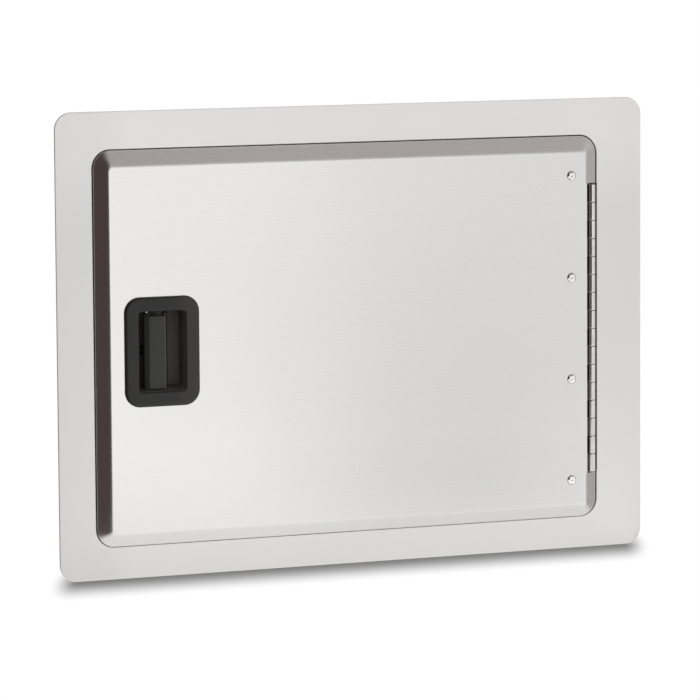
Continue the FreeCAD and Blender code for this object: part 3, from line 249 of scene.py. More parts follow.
class StageSettings(bpy.types.PropertyGroup):
    """Camera, lights and floor"""

    lens: FloatProperty(
        name="Lens", description="Focal length", default=226.95, min=1.0, unit="CAMERA")
    place: FloatVectorProperty(
        name="Camera Place", description="Place of the camera", size=3,
        default=(-1.7450, -4.2585, 0.4800), subtype="TRANSLATION", unit="LENGTH")
    yaw: angle("Yaw", "Turn of the camera about the vertical", math.radians(22.2035))
    pitch: angle("Pitch", "Tilt of the camera", math.radians(6.1535))
    roll: angle("Roll", "Roll of the camera", math.radians(-0.38))
    softbox: FloatProperty(
        name="Softbox", description="Power of the large light in front", default=7.0, min=0.0, unit="POWER")
    overhead: FloatProperty(
        name="Overhead", description="Power of the light above", default=6.0, min=0.0, unit="POWER")
    world: share("Surroundings", "Light that comes from all around", 0.46, 4.0)
    floor: tint("Floor", "Colour of the floor", (0.52, 0.52, 0.52))
    floor_glow: share("Floor Glow", "Share of plain white in the floor that the metal shows", 0.8)
    # Outline of the floor's painted shadow patch; the darkness inside it is rendered shading of the grey
    # floor
    shadow_core: FloatVectorProperty(
        name="Shadow Core", description="Half width and half depth of the shadow's dark part", size=2,
        default=(0.310, 0.001), subtype="XYZ_LENGTH", unit="LENGTH")
    shadow_fade: FloatVectorProperty(
        name="Shadow Fade", description="Width and depth over which the shadow fades to white", size=2,
        default=(0.032, 0.120), subtype="XYZ_LENGTH", unit="LENGTH")


# Shapes

def rounded(bm, geom, width, segments, affect="EDGES"):
    """Rounds edges off, or the corners at vertices."""
    bmesh.ops.bevel(
        bm, geom=geom, offset=width, offset_type="OFFSET", affect=affect,
        segments=segments, profile=0.5, material=-1)


class RoundedRing:
    """An upright rectangle of edges with rounded corners, drawn out ring by ring."""

    def __init__(self, bm, left, right, low, high, radius, y, segments):
        self.bm = bm
        known = set(bm.edges)
        places = ((left, low), (right, low), (right, high), (left, high))
        corners = [bm.verts.new((x, y, z)) for x, z in places]
        bm.faces.new(corners)
        rounded(bm, corners, radius, segments, affect="VERTICES")
        self.edges = [edge for edge in bm.edges if edge not in known]
        faces = {face for edge in self.edges for face in edge.link_faces}
        bmesh.ops.delete(bm, geom=list(faces), context="FACES_ONLY")
        middle_x, middle_z = (left + right) / 2, (low + high) / 2
        self.turns = {}
        for vert in {vert for edge in self.edges for vert in edge.verts}:
            side_x, side_z = vert.co.x > middle_x, vert.co.z > middle_z
            centre_x = right - radius if side_x else left + radius
            centre_z = high - radius if side_z else low + radius
            self.turns[vert] = (
                side_x, side_z, (vert.co.x - centre_x) / radius, (vert.co.z - centre_z) / radius)

    def draw_out(self, left, right, low, high, radius, y):
        """Extrudes the ring and lays it on another rounded rectangle."""
        made = bmesh.ops.extrude_edge_only(self.bm, edges=self.edges)["geom"]
        turns = {}
        for vert in [item for item in made if isinstance(item, bmesh.types.BMVert)]:
            source = next(
                edge.other_vert(vert) for edge in vert.link_edges if edge.other_vert(vert) in self.turns)
            side_x, side_z, across, up = self.turns[source]
            vert.co = (
                (right - radius if side_x else left + radius) + radius * across, y,
                (high - radius if side_z else low + radius) + radius * up)
            turns[vert] = self.turns[source]
        self.edges = [
            item for item in made
            if isinstance(item, bmesh.types.BMEdge) and all(vert in turns for vert in item.verts)]
        self.turns = turns


def drawn_shell(bm, rings, segments, closed=False):
    """A skin drawn through rounded rectangles, back to the first where closed."""
    skin = RoundedRing(bm, *rings[0], segments=segments)
    for ring in rings[1:] + rings[:1] * closed:
        skin.draw_out(*ring)
    if closed:
        bmesh.ops.remove_doubles(bm, verts=bm.verts[:], dist=WELD)


def quarter(steps):
    """Sine and cosine pairs along a quarter turn, ends left out."""
    turns = [math.pi / 2 * k / steps for k in range(1, steps)]
    return [(math.sin(turn), math.cos(turn)) for turn in turns]


def steps_to_one(count):
    """Equal steps from just above nought up to one."""
    return [k / count for k in range(1, count + 1)]


def block(bm, low, high, rounding=0.0, segments=2, lean=0.0):
    """A block with rounded edges, whose right side may lie further back than its left."""
    size = Vector(high) - Vector(low)
    middle = (Vector(high) + Vector(low)) / 2
    made = bmesh.ops.create_cube(
        bm, size=1.0, matrix=Matrix.Translation(middle) @ Matrix.Diagonal((*size, 1)))
    for vert in made["verts"]:
        if vert.co.x > middle.x:
            vert.co.y += lean
    if rounding:
        rounded(bm, list({edge for vert in made["verts"] for edge in vert.link_edges}), rounding, segments)


def post(bm, place, radius, low, high, rounding):
    """An upright solid cylinder with rounded ends."""
    made = bmesh.ops.create_cone(
        bm, cap_ends=True, segments=40, radius1=radius, radius2=radius, depth=high - low,
        matrix=Matrix.Translation((*place, (low + high) / 2)))
    rims = list({
        edge for vert in made["verts"] for edge in vert.link_edges
        if len(edge.link_faces) == 2 and edge.calc_face_angle(0) > math.radians(60)})
    rounded(bm, rims, rounding, segments=2)


def half_sleeve(bm, place, inner, outer, low, high):
    """The front half of an upright tube."""
    corners = [(-outer, low), (-inner, low), (-inner, high), (-outer, high)]
    verts = [bm.verts.new((place[0] + across, place[1], z)) for across, z in corners]
    face = bm.faces.new(verts)
    bmesh.ops.spin(
        bm, geom=[face], cent=(*place, 0), axis=(0, 0, 1), angle=math.pi, steps=24, use_merge=False)


def turned(bm, profile, centre, axis, steps):
    """A profile spun all the way round an axis."""
    verts = [bm.verts.new(point) for point in profile]
    edges = [bm.edges.new(pair) for pair in zip(verts, verts[1:])]
    bmesh.ops.spin(
        bm, geom=verts + edges, cent=centre, axis=axis, angle=math.tau, steps=steps, use_merge=True)
    bmesh.ops.remove_doubles(bm, verts=bm.verts[:], dist=WELD)


def split_at(bm, place, normal):
    """New edges where a plane meets the shape."""
    bmesh.ops.bisect_plane(
        bm, geom=bm.verts[:] + bm.edges[:] + bm.faces[:], dist=WELD, plane_co=place, plane_no=normal)


def outward(bm):
    """Normals that point out of closed shells."""
    bmesh.ops.recalc_face_normals(bm, faces=bm.faces[:])


def linked(name, data):
    """A new object in the scene."""
    made = bpy.data.objects.new(name, data)
    bpy.context.scene.collection.objects.link(made)
    return made


def placed(bm, name, *materials):
    """The shape as an object at the origin, with its materials."""
    mesh = bpy.data.meshes.new(name)
    bm.to_mesh(mesh)
    bm.free()
    for material in materials:
        mesh.materials.append(material)
    return linked(name, mesh)


def lay_flat_map(bm):
    """A map seen from the front, so that brushed lines run level."""
    layer = bm.loops.layers.uv.new("brushing")
    for face in bm.faces:
        for loop in face.loops:
            loop[layer].uv = (loop.vert.co.x + loop.vert.co.y, loop.vert.co.z)


def finished(bm, name, body, material, nodes, crease=32.0, second=None, where=None):
    """The piece that rides on its body, with a second material where a test of its faces says so."""
    for face in bm.faces:
        face.smooth = True
        if where is not None and where(face):
            face.material_index = 1
    for edge in bm.edges:
        if len(edge.link_faces) == 2:
            edge.smooth = edge.calc_face_angle(0) < math.radians(crease)
    lay_flat_map(bm)
    piece = placed(bm, name, *[each for each in (material, second) if each is not None])
    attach(piece, body)
    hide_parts(*nodes)


# Finishes

def wired(tree, kind, *values, operation=None, **named):
    """A node whose sockets take links or plain values, by their order or their name."""
    made = tree.nodes.new(kind)
    if operation:
        made.operation = operation
    pairs = list(zip(made.inputs, values))
    pairs += [(made.inputs[key.replace("_", " ").title()], value) for key, value in named.items()]
    for socket, value in pairs:
        if isinstance(value, bpy.types.NodeSocket):
            tree.links.new(value, socket)
        else:
            socket.default_value = value
    return made


def fill_ramp(ramp, tones):
    """Stops of a colour ramp, from the colours at its positions."""
    (first, colour), *others = sorted(tones.items())
    stops = ramp.elements
    stops.remove(stops[1])
    stops[0].position = first
    stops[0].color = (*colour, 1)
    for position, tone in others:
        stops.new(position).color = (*tone, 1)


def shaded(colour, factor):
    """A colour made lighter or darker."""
    return tuple(min(1.0, channel * factor) for channel in colour)


class Finish:
    """A node material that is put together step by step."""

    def __init__(self, name):
        self.material = bpy.data.materials.new(name)
        self.material.use_nodes = True
        self.tree = self.material.node_tree
        self.shader = self.tree.nodes["Principled BSDF"]
        self.place = self.node("ShaderNodeTexCoord").outputs["Object"]
        self.height = None

    def node(self, kind, *values, **named):
        """One more node of this material."""
        return wired(self.tree, kind, *values, **named)

    def set(self, **values):
        """Plain values on the shader's own sockets."""
        for key, value in values.items():
            socket = self.shader.inputs[key.replace("_", " ").title().replace("Ior", "IOR")]
            socket.default_value = (*value, 1.0) if isinstance(value, tuple) else value
        return self

    def noise(self, scale, stretch=(1, 1, 1), detail=3.0, roughness=0.55):
        """Noise over the object's own coordinates, stretched along its axes."""
        mapping = self.node("ShaderNodeMapping", self.place, scale=stretch)
        return self.node(
            "ShaderNodeTexNoise", mapping.outputs["Vector"], scale=scale, detail=detail,
            roughness=roughness).outputs["Fac"]

    def ramp(self, value, low, high, start=0.3, end=0.7):
        """A value spread between two levels or two colours."""
        if not isinstance(low, tuple):
            return self.node(
                "ShaderNodeMapRange", value, from_min=start, from_max=end, to_min=low,
                to_max=high).outputs["Result"]
        made = self.node("ShaderNodeValToRGB", value)
        fill_ramp(made.color_ramp, {start: low, end: high})
        return made.outputs["Color"]

    def along(self, axis, tones):
        """A level that follows one of the object's axes through tones at given places."""
        first, last = min(tones), max(tones)
        split = self.node("ShaderNodeSeparateXYZ", self.place)
        reach = self.node("ShaderNodeMapRange", split.outputs[axis], from_min=first, from_max=last)
        made = self.node("ShaderNodeValToRGB", reach.outputs["Result"])
        fill_ramp(made.color_ramp, {
            (place - first) / (last - first): (tone, tone, tone) for place, tone in tones.items()})
        return made.outputs["Color"]

    def times(self, colour, level):
        """A colour weakened by a level."""
        made = self.node("ShaderNodeMix", 1.0)
        made.data_type = "RGBA"
        made.blend_type = "MULTIPLY"
        first, second = [socket for socket in made.inputs if socket.type == "RGBA"]
        self.tree.links.new(colour, first)
        self.tree.links.new(level, second)
        return next(socket for socket in made.outputs if socket.type == "RGBA")

    def toned(self, colour, tones):
        """A colour weakened along the object's axes."""
        for axis, steps in (tones or {}).items():
            colour = self.times(colour, self.along(axis, steps))
        return colour

    def colour(self, value):
        """Colour that varies over the surface."""
        self.tree.links.new(value, self.shader.inputs["Base Color"])
        return self

    def gloss(self, value):
        """Roughness that varies over the surface."""
        self.tree.links.new(value, self.shader.inputs["Roughness"])
        return self

    def relief(self, value, depth, strength=1.0):
        """One more layer of bump, laid over the ones before."""
        bump = self.node("ShaderNodeBump", height=value, strength=strength, distance=depth)
        if self.height is not None:
            self.tree.links.new(self.height, bump.inputs["Normal"])
        self.height = bump.outputs["Normal"]
        self.tree.links.new(self.height, self.shader.inputs["Normal"])
        return self

    def brushed_along_map(self, anisotropy):
        """Reflections stretched across the brushed lines."""
        tangent = self.node("ShaderNodeTangent")
        tangent.direction_type = "UV_MAP"
        tangent.uv_map = "brushing"
        self.tree.links.new(tangent.outputs["Tangent"], self.shader.inputs["Tangent"])
        self.shader.inputs["Anisotropic"].default_value = anisotropy
        self.shader.inputs["Anisotropic Rotation"].default_value = 0.25
        return self


def brushed_steel(name, steel, rough, tones=None):
    """Fine level brushing, faint clouding and the slight wave of thin sheet."""
    sizes = bpy.context.scene.door_finish
    finish = Finish(name).set(metallic=1.0, base_color=steel, roughness=rough)
    lines = finish.noise(2400, stretch=(0.01, 1, 1), detail=3, roughness=0.6)
    cloud = finish.noise(4, detail=2)
    wave = finish.noise(2.6, stretch=(1, 1, 1.3), detail=1, roughness=0.3)
    finish.colour(finish.toned(finish.ramp(cloud, shaded(steel, 0.99), shaded(steel, 1.008)), tones))
    finish.gloss(finish.ramp(lines, rough * 0.94, rough * 1.06))
    finish.relief(wave, depth=0.00025)
    finish.relief(lines, depth=0.000004, strength=sizes.brush_depth)
    return finish.brushed_along_map(sizes.anisotropy).material


def mill_steel(name, along):
    """Dull rolled sheet with faint handling marks, and rolling lines along one of its axes."""
    colour = tuple(bpy.context.scene.door_finish.mill)
    stretch = {"X": (0.02, 1, 1), "Z": (1, 1, 0.02)}[along]
    finish = Finish(name).set(metallic=1.0, base_color=colour, roughness=0.38)
    lines = finish.noise(700, stretch=stretch, detail=3)
    marks = finish.noise(22, detail=4, roughness=0.65)
    finish.colour(finish.ramp(marks, shaded(colour, 0.9), shaded(colour, 1.05)))
    finish.gloss(finish.ramp(marks, 0.33, 0.46))
    return finish.relief(lines, depth=0.00003, strength=0.35).material


def hinge_steel(name, across=(1, 1, 0.03), rough=0.16, level=1.0, tones=None):
    """Bright drawn steel with fine lines along the barrel, dark where its crevices are."""
    colour = shaded(tuple(bpy.context.scene.door_finish.hinge), level)
    finish = Finish(name).set(metallic=1.0, base_color=colour, roughness=rough)
    lines = finish.noise(1500, stretch=across, detail=3)
    grime = finish.noise(90, detail=4, roughness=0.7)
    wear_and_painted_sheen = finish.ramp(grime, shaded(colour, 0.86), shaded(colour, 1.06), start=0.25, end=0.6)
    finish.colour(finish.toned(wear_and_painted_sheen, tones))
    finish.gloss(finish.ramp(lines, rough * 0.8, rough * 1.4))
    return finish.relief(lines, depth=0.00001, strength=0.25).material


def zinc_plate(name):
    """Plated steel: a cool spangle with a trace of straw colour."""
    colour = tuple(bpy.context.scene.door_finish.zinc)
    straw = (colour[0] * 1.05, colour[1], colour[2] * 0.86)
    finish = Finish(name).set(metallic=1.0, base_color=colour, roughness=0.3)
    patches = finish.noise(120, detail=2)
    finish.colour(finish.ramp(patches, shaded(colour, 0.88), straw, start=0.35))
    finish.gloss(finish.ramp(patches, 0.24, 0.4))
    return finish.relief(finish.noise(900, detail=3), depth=0.00002, strength=0.3).material


def moulded_plastic(name, colour, rough, grain, tones=None, sheen=0.55):
    """Black moulded plastic with a fine spark texture, paler where its tones say so."""
    finish = Finish(name).set(base_color=colour, roughness=rough, specular_ior_level=sheen)
    spark = finish.noise(grain, detail=2, roughness=0.5)
    wear_and_painted_sheen = finish.noise(45, detail=4, roughness=0.6)
    # Painted highlight: the tones make the plastic paler along one side, up to the largest tone
    most = max(tones.values()) if tones else 1.0
    pale = shaded(colour, most)
    base = finish.ramp(wear_and_painted_sheen, shaded(pale, 0.9), shaded(pale, 1.12))
    parts = {place: tone / most for place, tone in (tones or {}).items()}
    finish.colour(finish.toned(base, {"X": parts} if parts else None))
    finish.gloss(finish.ramp(wear_and_painted_sheen, rough * 0.9, rough * 1.12))
    return finish.relief(spark, depth=0.00006, strength=0.5).material


def rubber(name, grain, depth):
    """Matt black rubber, slightly open and dusty."""
    colour = tuple(bpy.context.scene.door_finish.rubber)
    finish = Finish(name).set(base_color=colour, roughness=0.82, specular_ior_level=0.3)
    dust = finish.noise(60, detail=5, roughness=0.7)
    finish.colour(finish.ramp(dust, colour, shaded(colour, 2.1), start=0.45, end=0.8))
    return finish.relief(finish.noise(grain, detail=3), depth, strength=0.6).material


# The door's own pieces

def opening():
    """Left, right, lower and upper edge of the flange's opening."""
    sizes = bpy.context.scene.door_flange
    return (
        FLANGE_LOW.x + sizes.margin_latch, FLANGE_HIGH.x - sizes.margin_hinge,
        FLANGE_LOW.z + sizes.margin_bottom, FLANGE_HIGH.z - sizes.margin_top)


def build_flange():
    """Flat flange whose opening edge rolls back into a short lip."""
    sizes = bpy.context.scene.door_flange
    bm = bmesh.new()
    left, right, low, high = opening()
    front, back, lip_end = FLANGE_LOW.y, 0.0, FLANGE_HIGH.y
    edge, roll, sheet, narrow = sizes.edge_radius, sizes.roll_radius, sizes.sheet, sizes.roll_below
    edge_hold, roll_hold = edge * 4, roll * 1.8

    def outer(inset, y):
        return (
            FLANGE_LOW.x + inset, FLANGE_HIGH.x - inset, FLANGE_LOW.z + inset, FLANGE_HIGH.z - inset,
            sizes.corner_radius - inset, y)

    def inner(outset, y, below=1.0):
        return (
            left - outset, right + outset, low - outset * below, high + outset,
            sizes.opening_radius + outset, y)

    rings = [outer(0, back), outer(0, front + edge)]
    rings += [outer(edge * (1 - c), front + edge * (1 - s)) for s, c in quarter(steps=3)]
    rings += [outer(edge, front), outer(edge_hold, front)]
    rings += [inner(roll_hold, front, narrow), inner(roll, front, narrow)]
    rings += [inner(roll * (1 - s), front + roll * (1 - c), narrow) for s, c in quarter(steps=8)]
    rings += [
        inner(0, front + roll), inner(0, lip_end - edge), inner(edge, lip_end),
        inner(sheet - edge, lip_end), inner(sheet, lip_end - edge), inner(sheet, back + edge),
        inner(sheet + edge, back)]
    drawn_shell(bm, rings, segments=12, closed=True)
    outward(bm)
    for level in (PIN_LOW.z, PIN_HIGH.z):
        split_at(bm, (0, 0, level), (0, 0, 1))

    # Faces of the rolled lip beside the hinge, which get a darker copy of the steel as painted shade in the
    # gap
    def in_painted_shade_lip(face):
        place = face.calc_center_median()
        beside = right - roll < place.x < right + roll * 1.2
        return beside and PIN_LOW.z < place.z < PIN_HIGH.z and place.y > front + roll * 0.15

    finish = bpy.context.scene.door_finish
    flange = tuple(finish.flange)
    steel = brushed_steel("flange_brushed_steel", flange, finish.flange_roughness, FLANGE_PAINTED_SHADE)
    # Painted shade: a much darker copy of the flange's steel for that lip
    shade = brushed_steel("flange_lip_painted_shade", shaded(flange, finish.lip_shade), finish.lip_roughness)
    finished(
        bm, "flange_panel", "frame", steel, ["face_frame"], second=shade, where=in_painted_shade_lip)


def build_pan():
    """Door pan: return lip, side wall, bevel, soft fold and face, notched for the hinge."""
    sizes = bpy.context.scene.door_pan
    bm = bmesh.new()
    flange_front, face, rear = FLANGE_LOW.y, PAN_LOW.y, PAN_HIGH.y
    least_radius = 0.0008

    def pan_ring(part, y, inward=0.0):
        """The pan's outline at a share of the bevel, nought at the flange and one at the face."""
        radius = sizes.corner_radius + part * (sizes.face_radius - sizes.corner_radius) - inward / 2
        right = PAN_HIGH.x + sizes.reach_hinge * (1 - part)
        low = PAN_LOW.z - sizes.reach_below * (1 - part)
        return (
            PAN_LOW.x + part * sizes.bevel_latch + inward, right - part * sizes.bevel_hinge - inward,
            low + part * sizes.bevel_bottom + inward, PAN_HIGH.z - part * sizes.bevel_top - inward,
            max(radius, least_radius), y)

    def bevel_y(part):
        return flange_front - part * sizes.rise

    def between(a, b, c, s):
        """A soft bend from a to c that is drawn towards b."""
        return (1 - s) ** 2 * a + 2 * s * (1 - s) * b + s * s * c

    bend = sizes.sheet * 1.2
    rings = [pan_ring(0, rear, sizes.lip), pan_ring(0, rear, bend * 1.3), pan_ring(0, rear, bend)]
    rings += [pan_ring(0, rear - bend * (1 - c), bend * (1 - s)) for s, c in quarter(steps=4)]
    rings += [pan_ring(0, rear - bend), pan_ring(0, flange_front + sizes.edge)]
    foot = sizes.edge / sizes.rise
    rings += [
        pan_ring(s * s * foot, between(flange_front + sizes.edge, flange_front, bevel_y(foot), s))
        for s in steps_to_one(6)]
    start = 1 - sizes.fold / sizes.rise
    hold = 0.06
    rings += [pan_ring(part, bevel_y(part)) for part in (foot + hold, start - hold, start)]
    for s in steps_to_one(8):
        part = start + (1 - start) * (1 - (1 - s) ** 2)
        rings.append(pan_ring(part, between(bevel_y(start), face, face, s), s * s * sizes.fold))
    rings.append(pan_ring(1, face, sizes.fold * 2.2))
    rings.append((*latch_hole(), sizes.hole_radius, face))
    drawn_shell(bm, rings, segments=14)
    cut_hinge_notch(bm)
    face_out(bm)
    bmesh.ops.solidify(bm, geom=bm.faces[:], thickness=sizes.sheet)
    finish = bpy.context.scene.door_finish
    steel = brushed_steel("door_brushed_steel", tuple(finish.steel), finish.steel_roughness, DOOR_PAINTED_SHADE)
    finished(bm, "door_pan", "door", steel, ["door_skin"])


def latch_hole():
    """Left, right, lower and upper edge of the hole in the face for the latch."""
    sizes = bpy.context.scene.door_latch
    inset_x = sizes.rim_side - sizes.cup_wall - sizes.hole_clearance
    inset_z = sizes.rim_end - sizes.cup_wall - sizes.hole_clearance - sizes.boss
    return LATCH_LOW.x + inset_x, LATCH_HIGH.x - inset_x, LATCH_LOW.z + inset_z, LATCH_HIGH.z - inset_z


def cut_hinge_notch(bm):
    """Cuts the bevel away beside the hinge barrel and carries the face out to it."""
    sizes = bpy.context.scene.door_pan
    low, high = barrel_ends()
    low -= sizes.notch_clearance
    high += sizes.notch_clearance
    fold_x = PAN_HIGH.x - sizes.bevel_hinge - sizes.notch_setback
    edge_x = hinge_axis()[0] - barrel_radius() - sizes.face_gap
    split_at(bm, (fold_x, 0, 0), (1, 0, 0))
    split_at(bm, (0, 0, low), (0, 0, 1))
    split_at(bm, (0, 0, high), (0, 0, 1))

    def beside_barrel(face):
        middle = face.calc_center_median()
        return middle.x > fold_x and low < middle.z < high

    def on_rim(vert):
        at_fold = abs(vert.co.x - fold_x) < NEAR and abs(vert.co.y - PAN_LOW.y) < NEAR
        return at_fold and low - NEAR < vert.co.z < high + NEAR

    bmesh.ops.delete(bm, geom=[face for face in bm.faces if beside_barrel(face)], context="FACES")
    rim = [edge for edge in bm.edges if edge.is_boundary and all(on_rim(vert) for vert in edge.verts)]
    carried = bmesh.ops.extrude_edge_only(bm, edges=rim)
    moved = [item for item in carried["geom"] if isinstance(item, bmesh.types.BMVert)]
    bmesh.ops.translate(bm, verts=moved, vec=(edge_x - fold_x, 0, 0))


def face_out(bm):
    """Normals of an open sheet, with its face towards the front."""
    outward(bm)
    front = max(bm.faces, key=lambda face: face.calc_area())
    if front.normal.dot(FRONT) < 0:
        bmesh.ops.reverse_faces(bm, faces=bm.faces[:])


def barrel_radius():
    """Radius of the hinge barrel."""
    sizes = bpy.context.scene.door_hinge
    return sizes.pin / 2 + sizes.sheet


def barrel_ends():
    """Lower and upper end of the hinge barrel."""
    sizes = bpy.context.scene.door_hinge
    return PIN_LOW.z + sizes.stake, PIN_HIGH.z - sizes.stake


def hinge_axis():
    """Place of the hinge axis seen from above."""
    return (PIN_LOW.x + PIN_HIGH.x) / 2, (PIN_LOW.y + PIN_HIGH.y) / 2


def knuckle_heights(first):
    """Lower and upper end of every second knuckle."""
    sizes = bpy.context.scene.door_hinge
    low, high = barrel_ends()
    pitch = (high - low) / sizes.knuckles
    return [
        (low + k * pitch + sizes.gap / 2, low + (k + 1) * pitch - sizes.gap / 2)
        for k in range(first, sizes.knuckles, 2)]


def knuckle(bm, low, high):
    """One rolled knuckle with softened ends."""
    sizes = bpy.context.scene.door_hinge
    x, y = hinge_axis()
    bore, outer, soft = sizes.pin / 2, barrel_radius(), sizes.rounding
    softening = [(2, 0), (1, 0), (0.3, 0.3), (0, 1), (0, 2)]
    profile = [(bore, low)]
    profile += [(outer - soft * across, low + soft * up) for across, up in softening]
    profile += [(outer - soft * across, high - soft * up) for across, up in reversed(softening)]
    profile += [(bore, high), (bore, low)]
    turned(bm, [(x + reach, y, z) for reach, z in profile], (x, y, 0), (0, 0, 1), steps=56)


def build_hinge():
    """Both hinge leaves with their rolled knuckles."""
    sizes = bpy.context.scene.door_hinge
    x, y = hinge_axis()
    radius, gap, edge = barrel_radius(), sizes.leaf_gap, sizes.leaf_edge
    # Painted shade on the barrel: darker in the gap beside it and at its right rim
    tones = {x + place: tone for place, tone in BARREL_PAINTED_SHADE.items()}
    steel = hinge_steel("hinge_drawn_steel_painted_shade", tones={"X": tones})
    plain = hinge_steel("hinge_leaf_steel")

    def behind(face):
        turned_back = face.normal.y > 0.3
        behind_flange = face.calc_center_median().y > 0.0005
        return turned_back or behind_flange

    bm = bmesh.new()
    leaf_low, leaf_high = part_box("hinge_frame_leaf")
    block(bm, (x + radius - sizes.sheet, y + radius + gap, leaf_low.z),
          (x + radius, leaf_high.y, leaf_high.z), edge)
    for low, high in knuckle_heights(0):
        knuckle(bm, low, high)
        block(bm, (x + radius - sizes.sheet * 0.98, y, low), (x + radius, y + radius + 2 * gap, high), edge)
    outward(bm)
    finished(
        bm, "hinge_fixed_leaf", "frame", steel, ["hinge_frame_leaf"], second=plain,
        where=behind)

    bm = bmesh.new()
    leaf_low, leaf_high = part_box("hinge_door_leaf")
    front = leaf_low.y
    back = front + sizes.sheet
    bend = x - radius - bpy.context.scene.door_pan.face_gap
    knuckles = knuckle_heights(1)
    block(bm, (leaf_low.x, front, leaf_low.z), (x - sizes.relief, back, leaf_high.z), edge)
    block(bm, (x - sizes.relief - gap, front, knuckles[0][0]), (bend, back, knuckles[-1][1]), edge)
    for low, high in knuckles:
        knuckle(bm, low, high)
        block(bm, (bend - gap, front, low), (x - radius * 0.9, back, high), edge, lean=sizes.joggle)
    outward(bm)
    finished(
        bm, "hinge_swing_leaf", "door", steel, ["hinge_door_leaf"], second=plain,
        where=behind)


def build_rivets():
    """Blind rivets with a domed head round the mandrel's end, and their set tails."""
    sizes = bpy.context.scene.door_hinge
    bm = bmesh.new()
    x = (RIVETS_LOW.x + RIVETS_HIGH.x) / 2
    head, hole = sizes.rivet_head / 2, sizes.mandrel / 2
    rise, shoulder = sizes.rivet_rise, sizes.rivet_shoulder
    rim, cap = head - shoulder, rise - shoulder
    seat, tail_end = PAN_LOW.y, RIVETS_HIGH.y
    dome = (rim ** 2 + cap ** 2) / (2 * cap)
    middle = seat - rise + dome
    dimple = seat - rise * 0.55
    grip, shank, tail = tail_end - sizes.tail_height, sizes.shank, sizes.tail
    profile = [(0, dimple), (hole * 0.55, dimple)]
    for part in (0, *steps_to_one(8)):
        across = hole + (rim - hole) * part
        profile.append((across, middle - math.sqrt(dome ** 2 - across ** 2)))
    profile += [(rim + shoulder * s, seat - shoulder * c) for s, c in quarter(steps=4)]
    profile += [
        (head, seat), (shank, seat), (shank, grip), (tail * 0.9, grip), (tail, grip + 0.0008),
        (tail * 0.85, tail_end - 0.0004), (tail * 0.6, tail_end), (0, tail_end)]
    for k in range(sizes.rivets):
        z = RIVETS_LOW.z + head + k * (RIVETS_HIGH.z - RIVETS_LOW.z - 2 * head) / (sizes.rivets - 1)
        turned(bm, [(x + across, y, z) for across, y in profile], (x, 0, z), (0, 1, 0), steps=48)
    outward(bm)
    # Painted shade: each head darkens towards its rim where it sits on the face
    tones = {seat + place: tone for place, tone in RIVET_PAINTED_SHADE.items()}
    steel = hinge_steel("rivet_bright_steel_painted_shade", across=(1, 1, 1), rough=0.11, level=1.18, tones={"Y": tones})
    finished(bm, "face_rivets", "door", steel, ["door_rivets"], crease=50)


def cup_edges():
    """Left, right, lower and upper edge of the finger cup at the bezel."""
    sizes = bpy.context.scene.door_latch
    return (
        LATCH_LOW.x + sizes.bezel_inset + sizes.rim_side, LATCH_HIGH.x - sizes.rim_side,
        LATCH_LOW.z + sizes.rim_end, LATCH_HIGH.z - sizes.rim_end)


def paddle_pivot():
    """Place of the paddle's pin seen from above."""
    return (PIVOT_LOW.x + PIVOT_HIGH.x) / 2, (PIVOT_LOW.y + PIVOT_HIGH.y) / 2


def build_latch():
    """Bezel and finger cup in one moulding, with the bosses behind."""
    sizes = bpy.context.scene.door_latch
    bm = bmesh.new()
    front, seat = LATCH_LOW.y, GASKET_LOW.y
    left, right, low, high = cup_edges()
    floor = front + sizes.cup_depth
    back = floor + sizes.cup_wall
    rounding, fall, lip, foot = sizes.bezel_round, sizes.bezel_fall, sizes.cup_lip, sizes.floor_round
    least_radius = 0.0005

    def bezel(inset, y):
        return (
            LATCH_LOW.x + sizes.bezel_inset + inset, LATCH_HIGH.x - inset,
            LATCH_LOW.z + inset, LATCH_HIGH.z - inset, sizes.bezel_radius - inset, y)

    def cup(grow, y, inward=0.0):
        """The cup's outline at a depth, with its upper and lower walls leaning in."""
        part = (y - front) / sizes.cup_depth
        return (
            left - grow + inward, right + grow - inward,
            low - grow + inward + part * sizes.draft_bottom, high + grow - inward - part * sizes.draft_top,
            max(sizes.cup_radius + grow - inward / 2, least_radius), y)

    rings = [bezel(0, seat), bezel(0, front + fall)]
    rings += [bezel(rounding * (1 - c), front + fall * (1 - s)) for s, c in quarter(steps=8)]
    rings += [bezel(rounding, front), bezel(rounding * 1.3, front), cup(lip * 1.6, front), cup(lip, front)]
    rings += [cup(lip * (1 - s), front + lip * (1 - c)) for s, c in quarter(steps=6)]
    rings += [cup(0, front + lip), cup(0, floor - foot * 1.5), cup(0, floor - foot)]
    rings += [cup(0, floor - foot * (1 - s), foot * (1 - c)) for s, c in quarter(steps=5)]
    rings += [cup(0, floor, foot), cup(0, floor, foot * 1.6)]
    pivot_x = paddle_pivot()[0]
    middle = (LATCH_LOW.z + LATCH_HIGH.z) / 2
    slot = (
        pivot_x - sizes.slot_left, pivot_x + sizes.slot_right,
        middle - sizes.slot_half, middle + sizes.slot_half, least_radius)
    rings += [(*slot, floor), (*slot, back), cup(sizes.cup_wall, back), cup(sizes.cup_wall, seat)]
    drawn_shell(bm, rings, segments=12, closed=True)
    add_latch_bosses(bm, back)
    add_floor_relief(bm, floor, back)
    outward(bm)

    # Painted light: faces inside the finger cup get a paler copy of the black plastic, standing in for
    # light that reaches into the recess
    def in_cup_painted_light(face):
        place = face.calc_center_median()
        return place.y > front + lip and left < place.x < right + 0.0005

    finish = bpy.context.scene.door_finish
    # Painted sheen: the bezel's right side is made about twice as pale, as if it caught more light
    wear_and_painted_sheen = {right - 0.012: 1.0, right + 0.001: 2.1}
    material = moulded_plastic(
        "latch_black_plastic", tuple(finish.plastic), rough=0.46, grain=1400, tones=wear_and_painted_sheen)
    inside = moulded_plastic("cup_plastic_painted_light", tuple(finish.cup), rough=0.5, grain=1400)
    finished(
        bm, "latch_bezel_cup", "door", material, ["latch_housing"], second=inside,
        where=in_cup_painted_light)


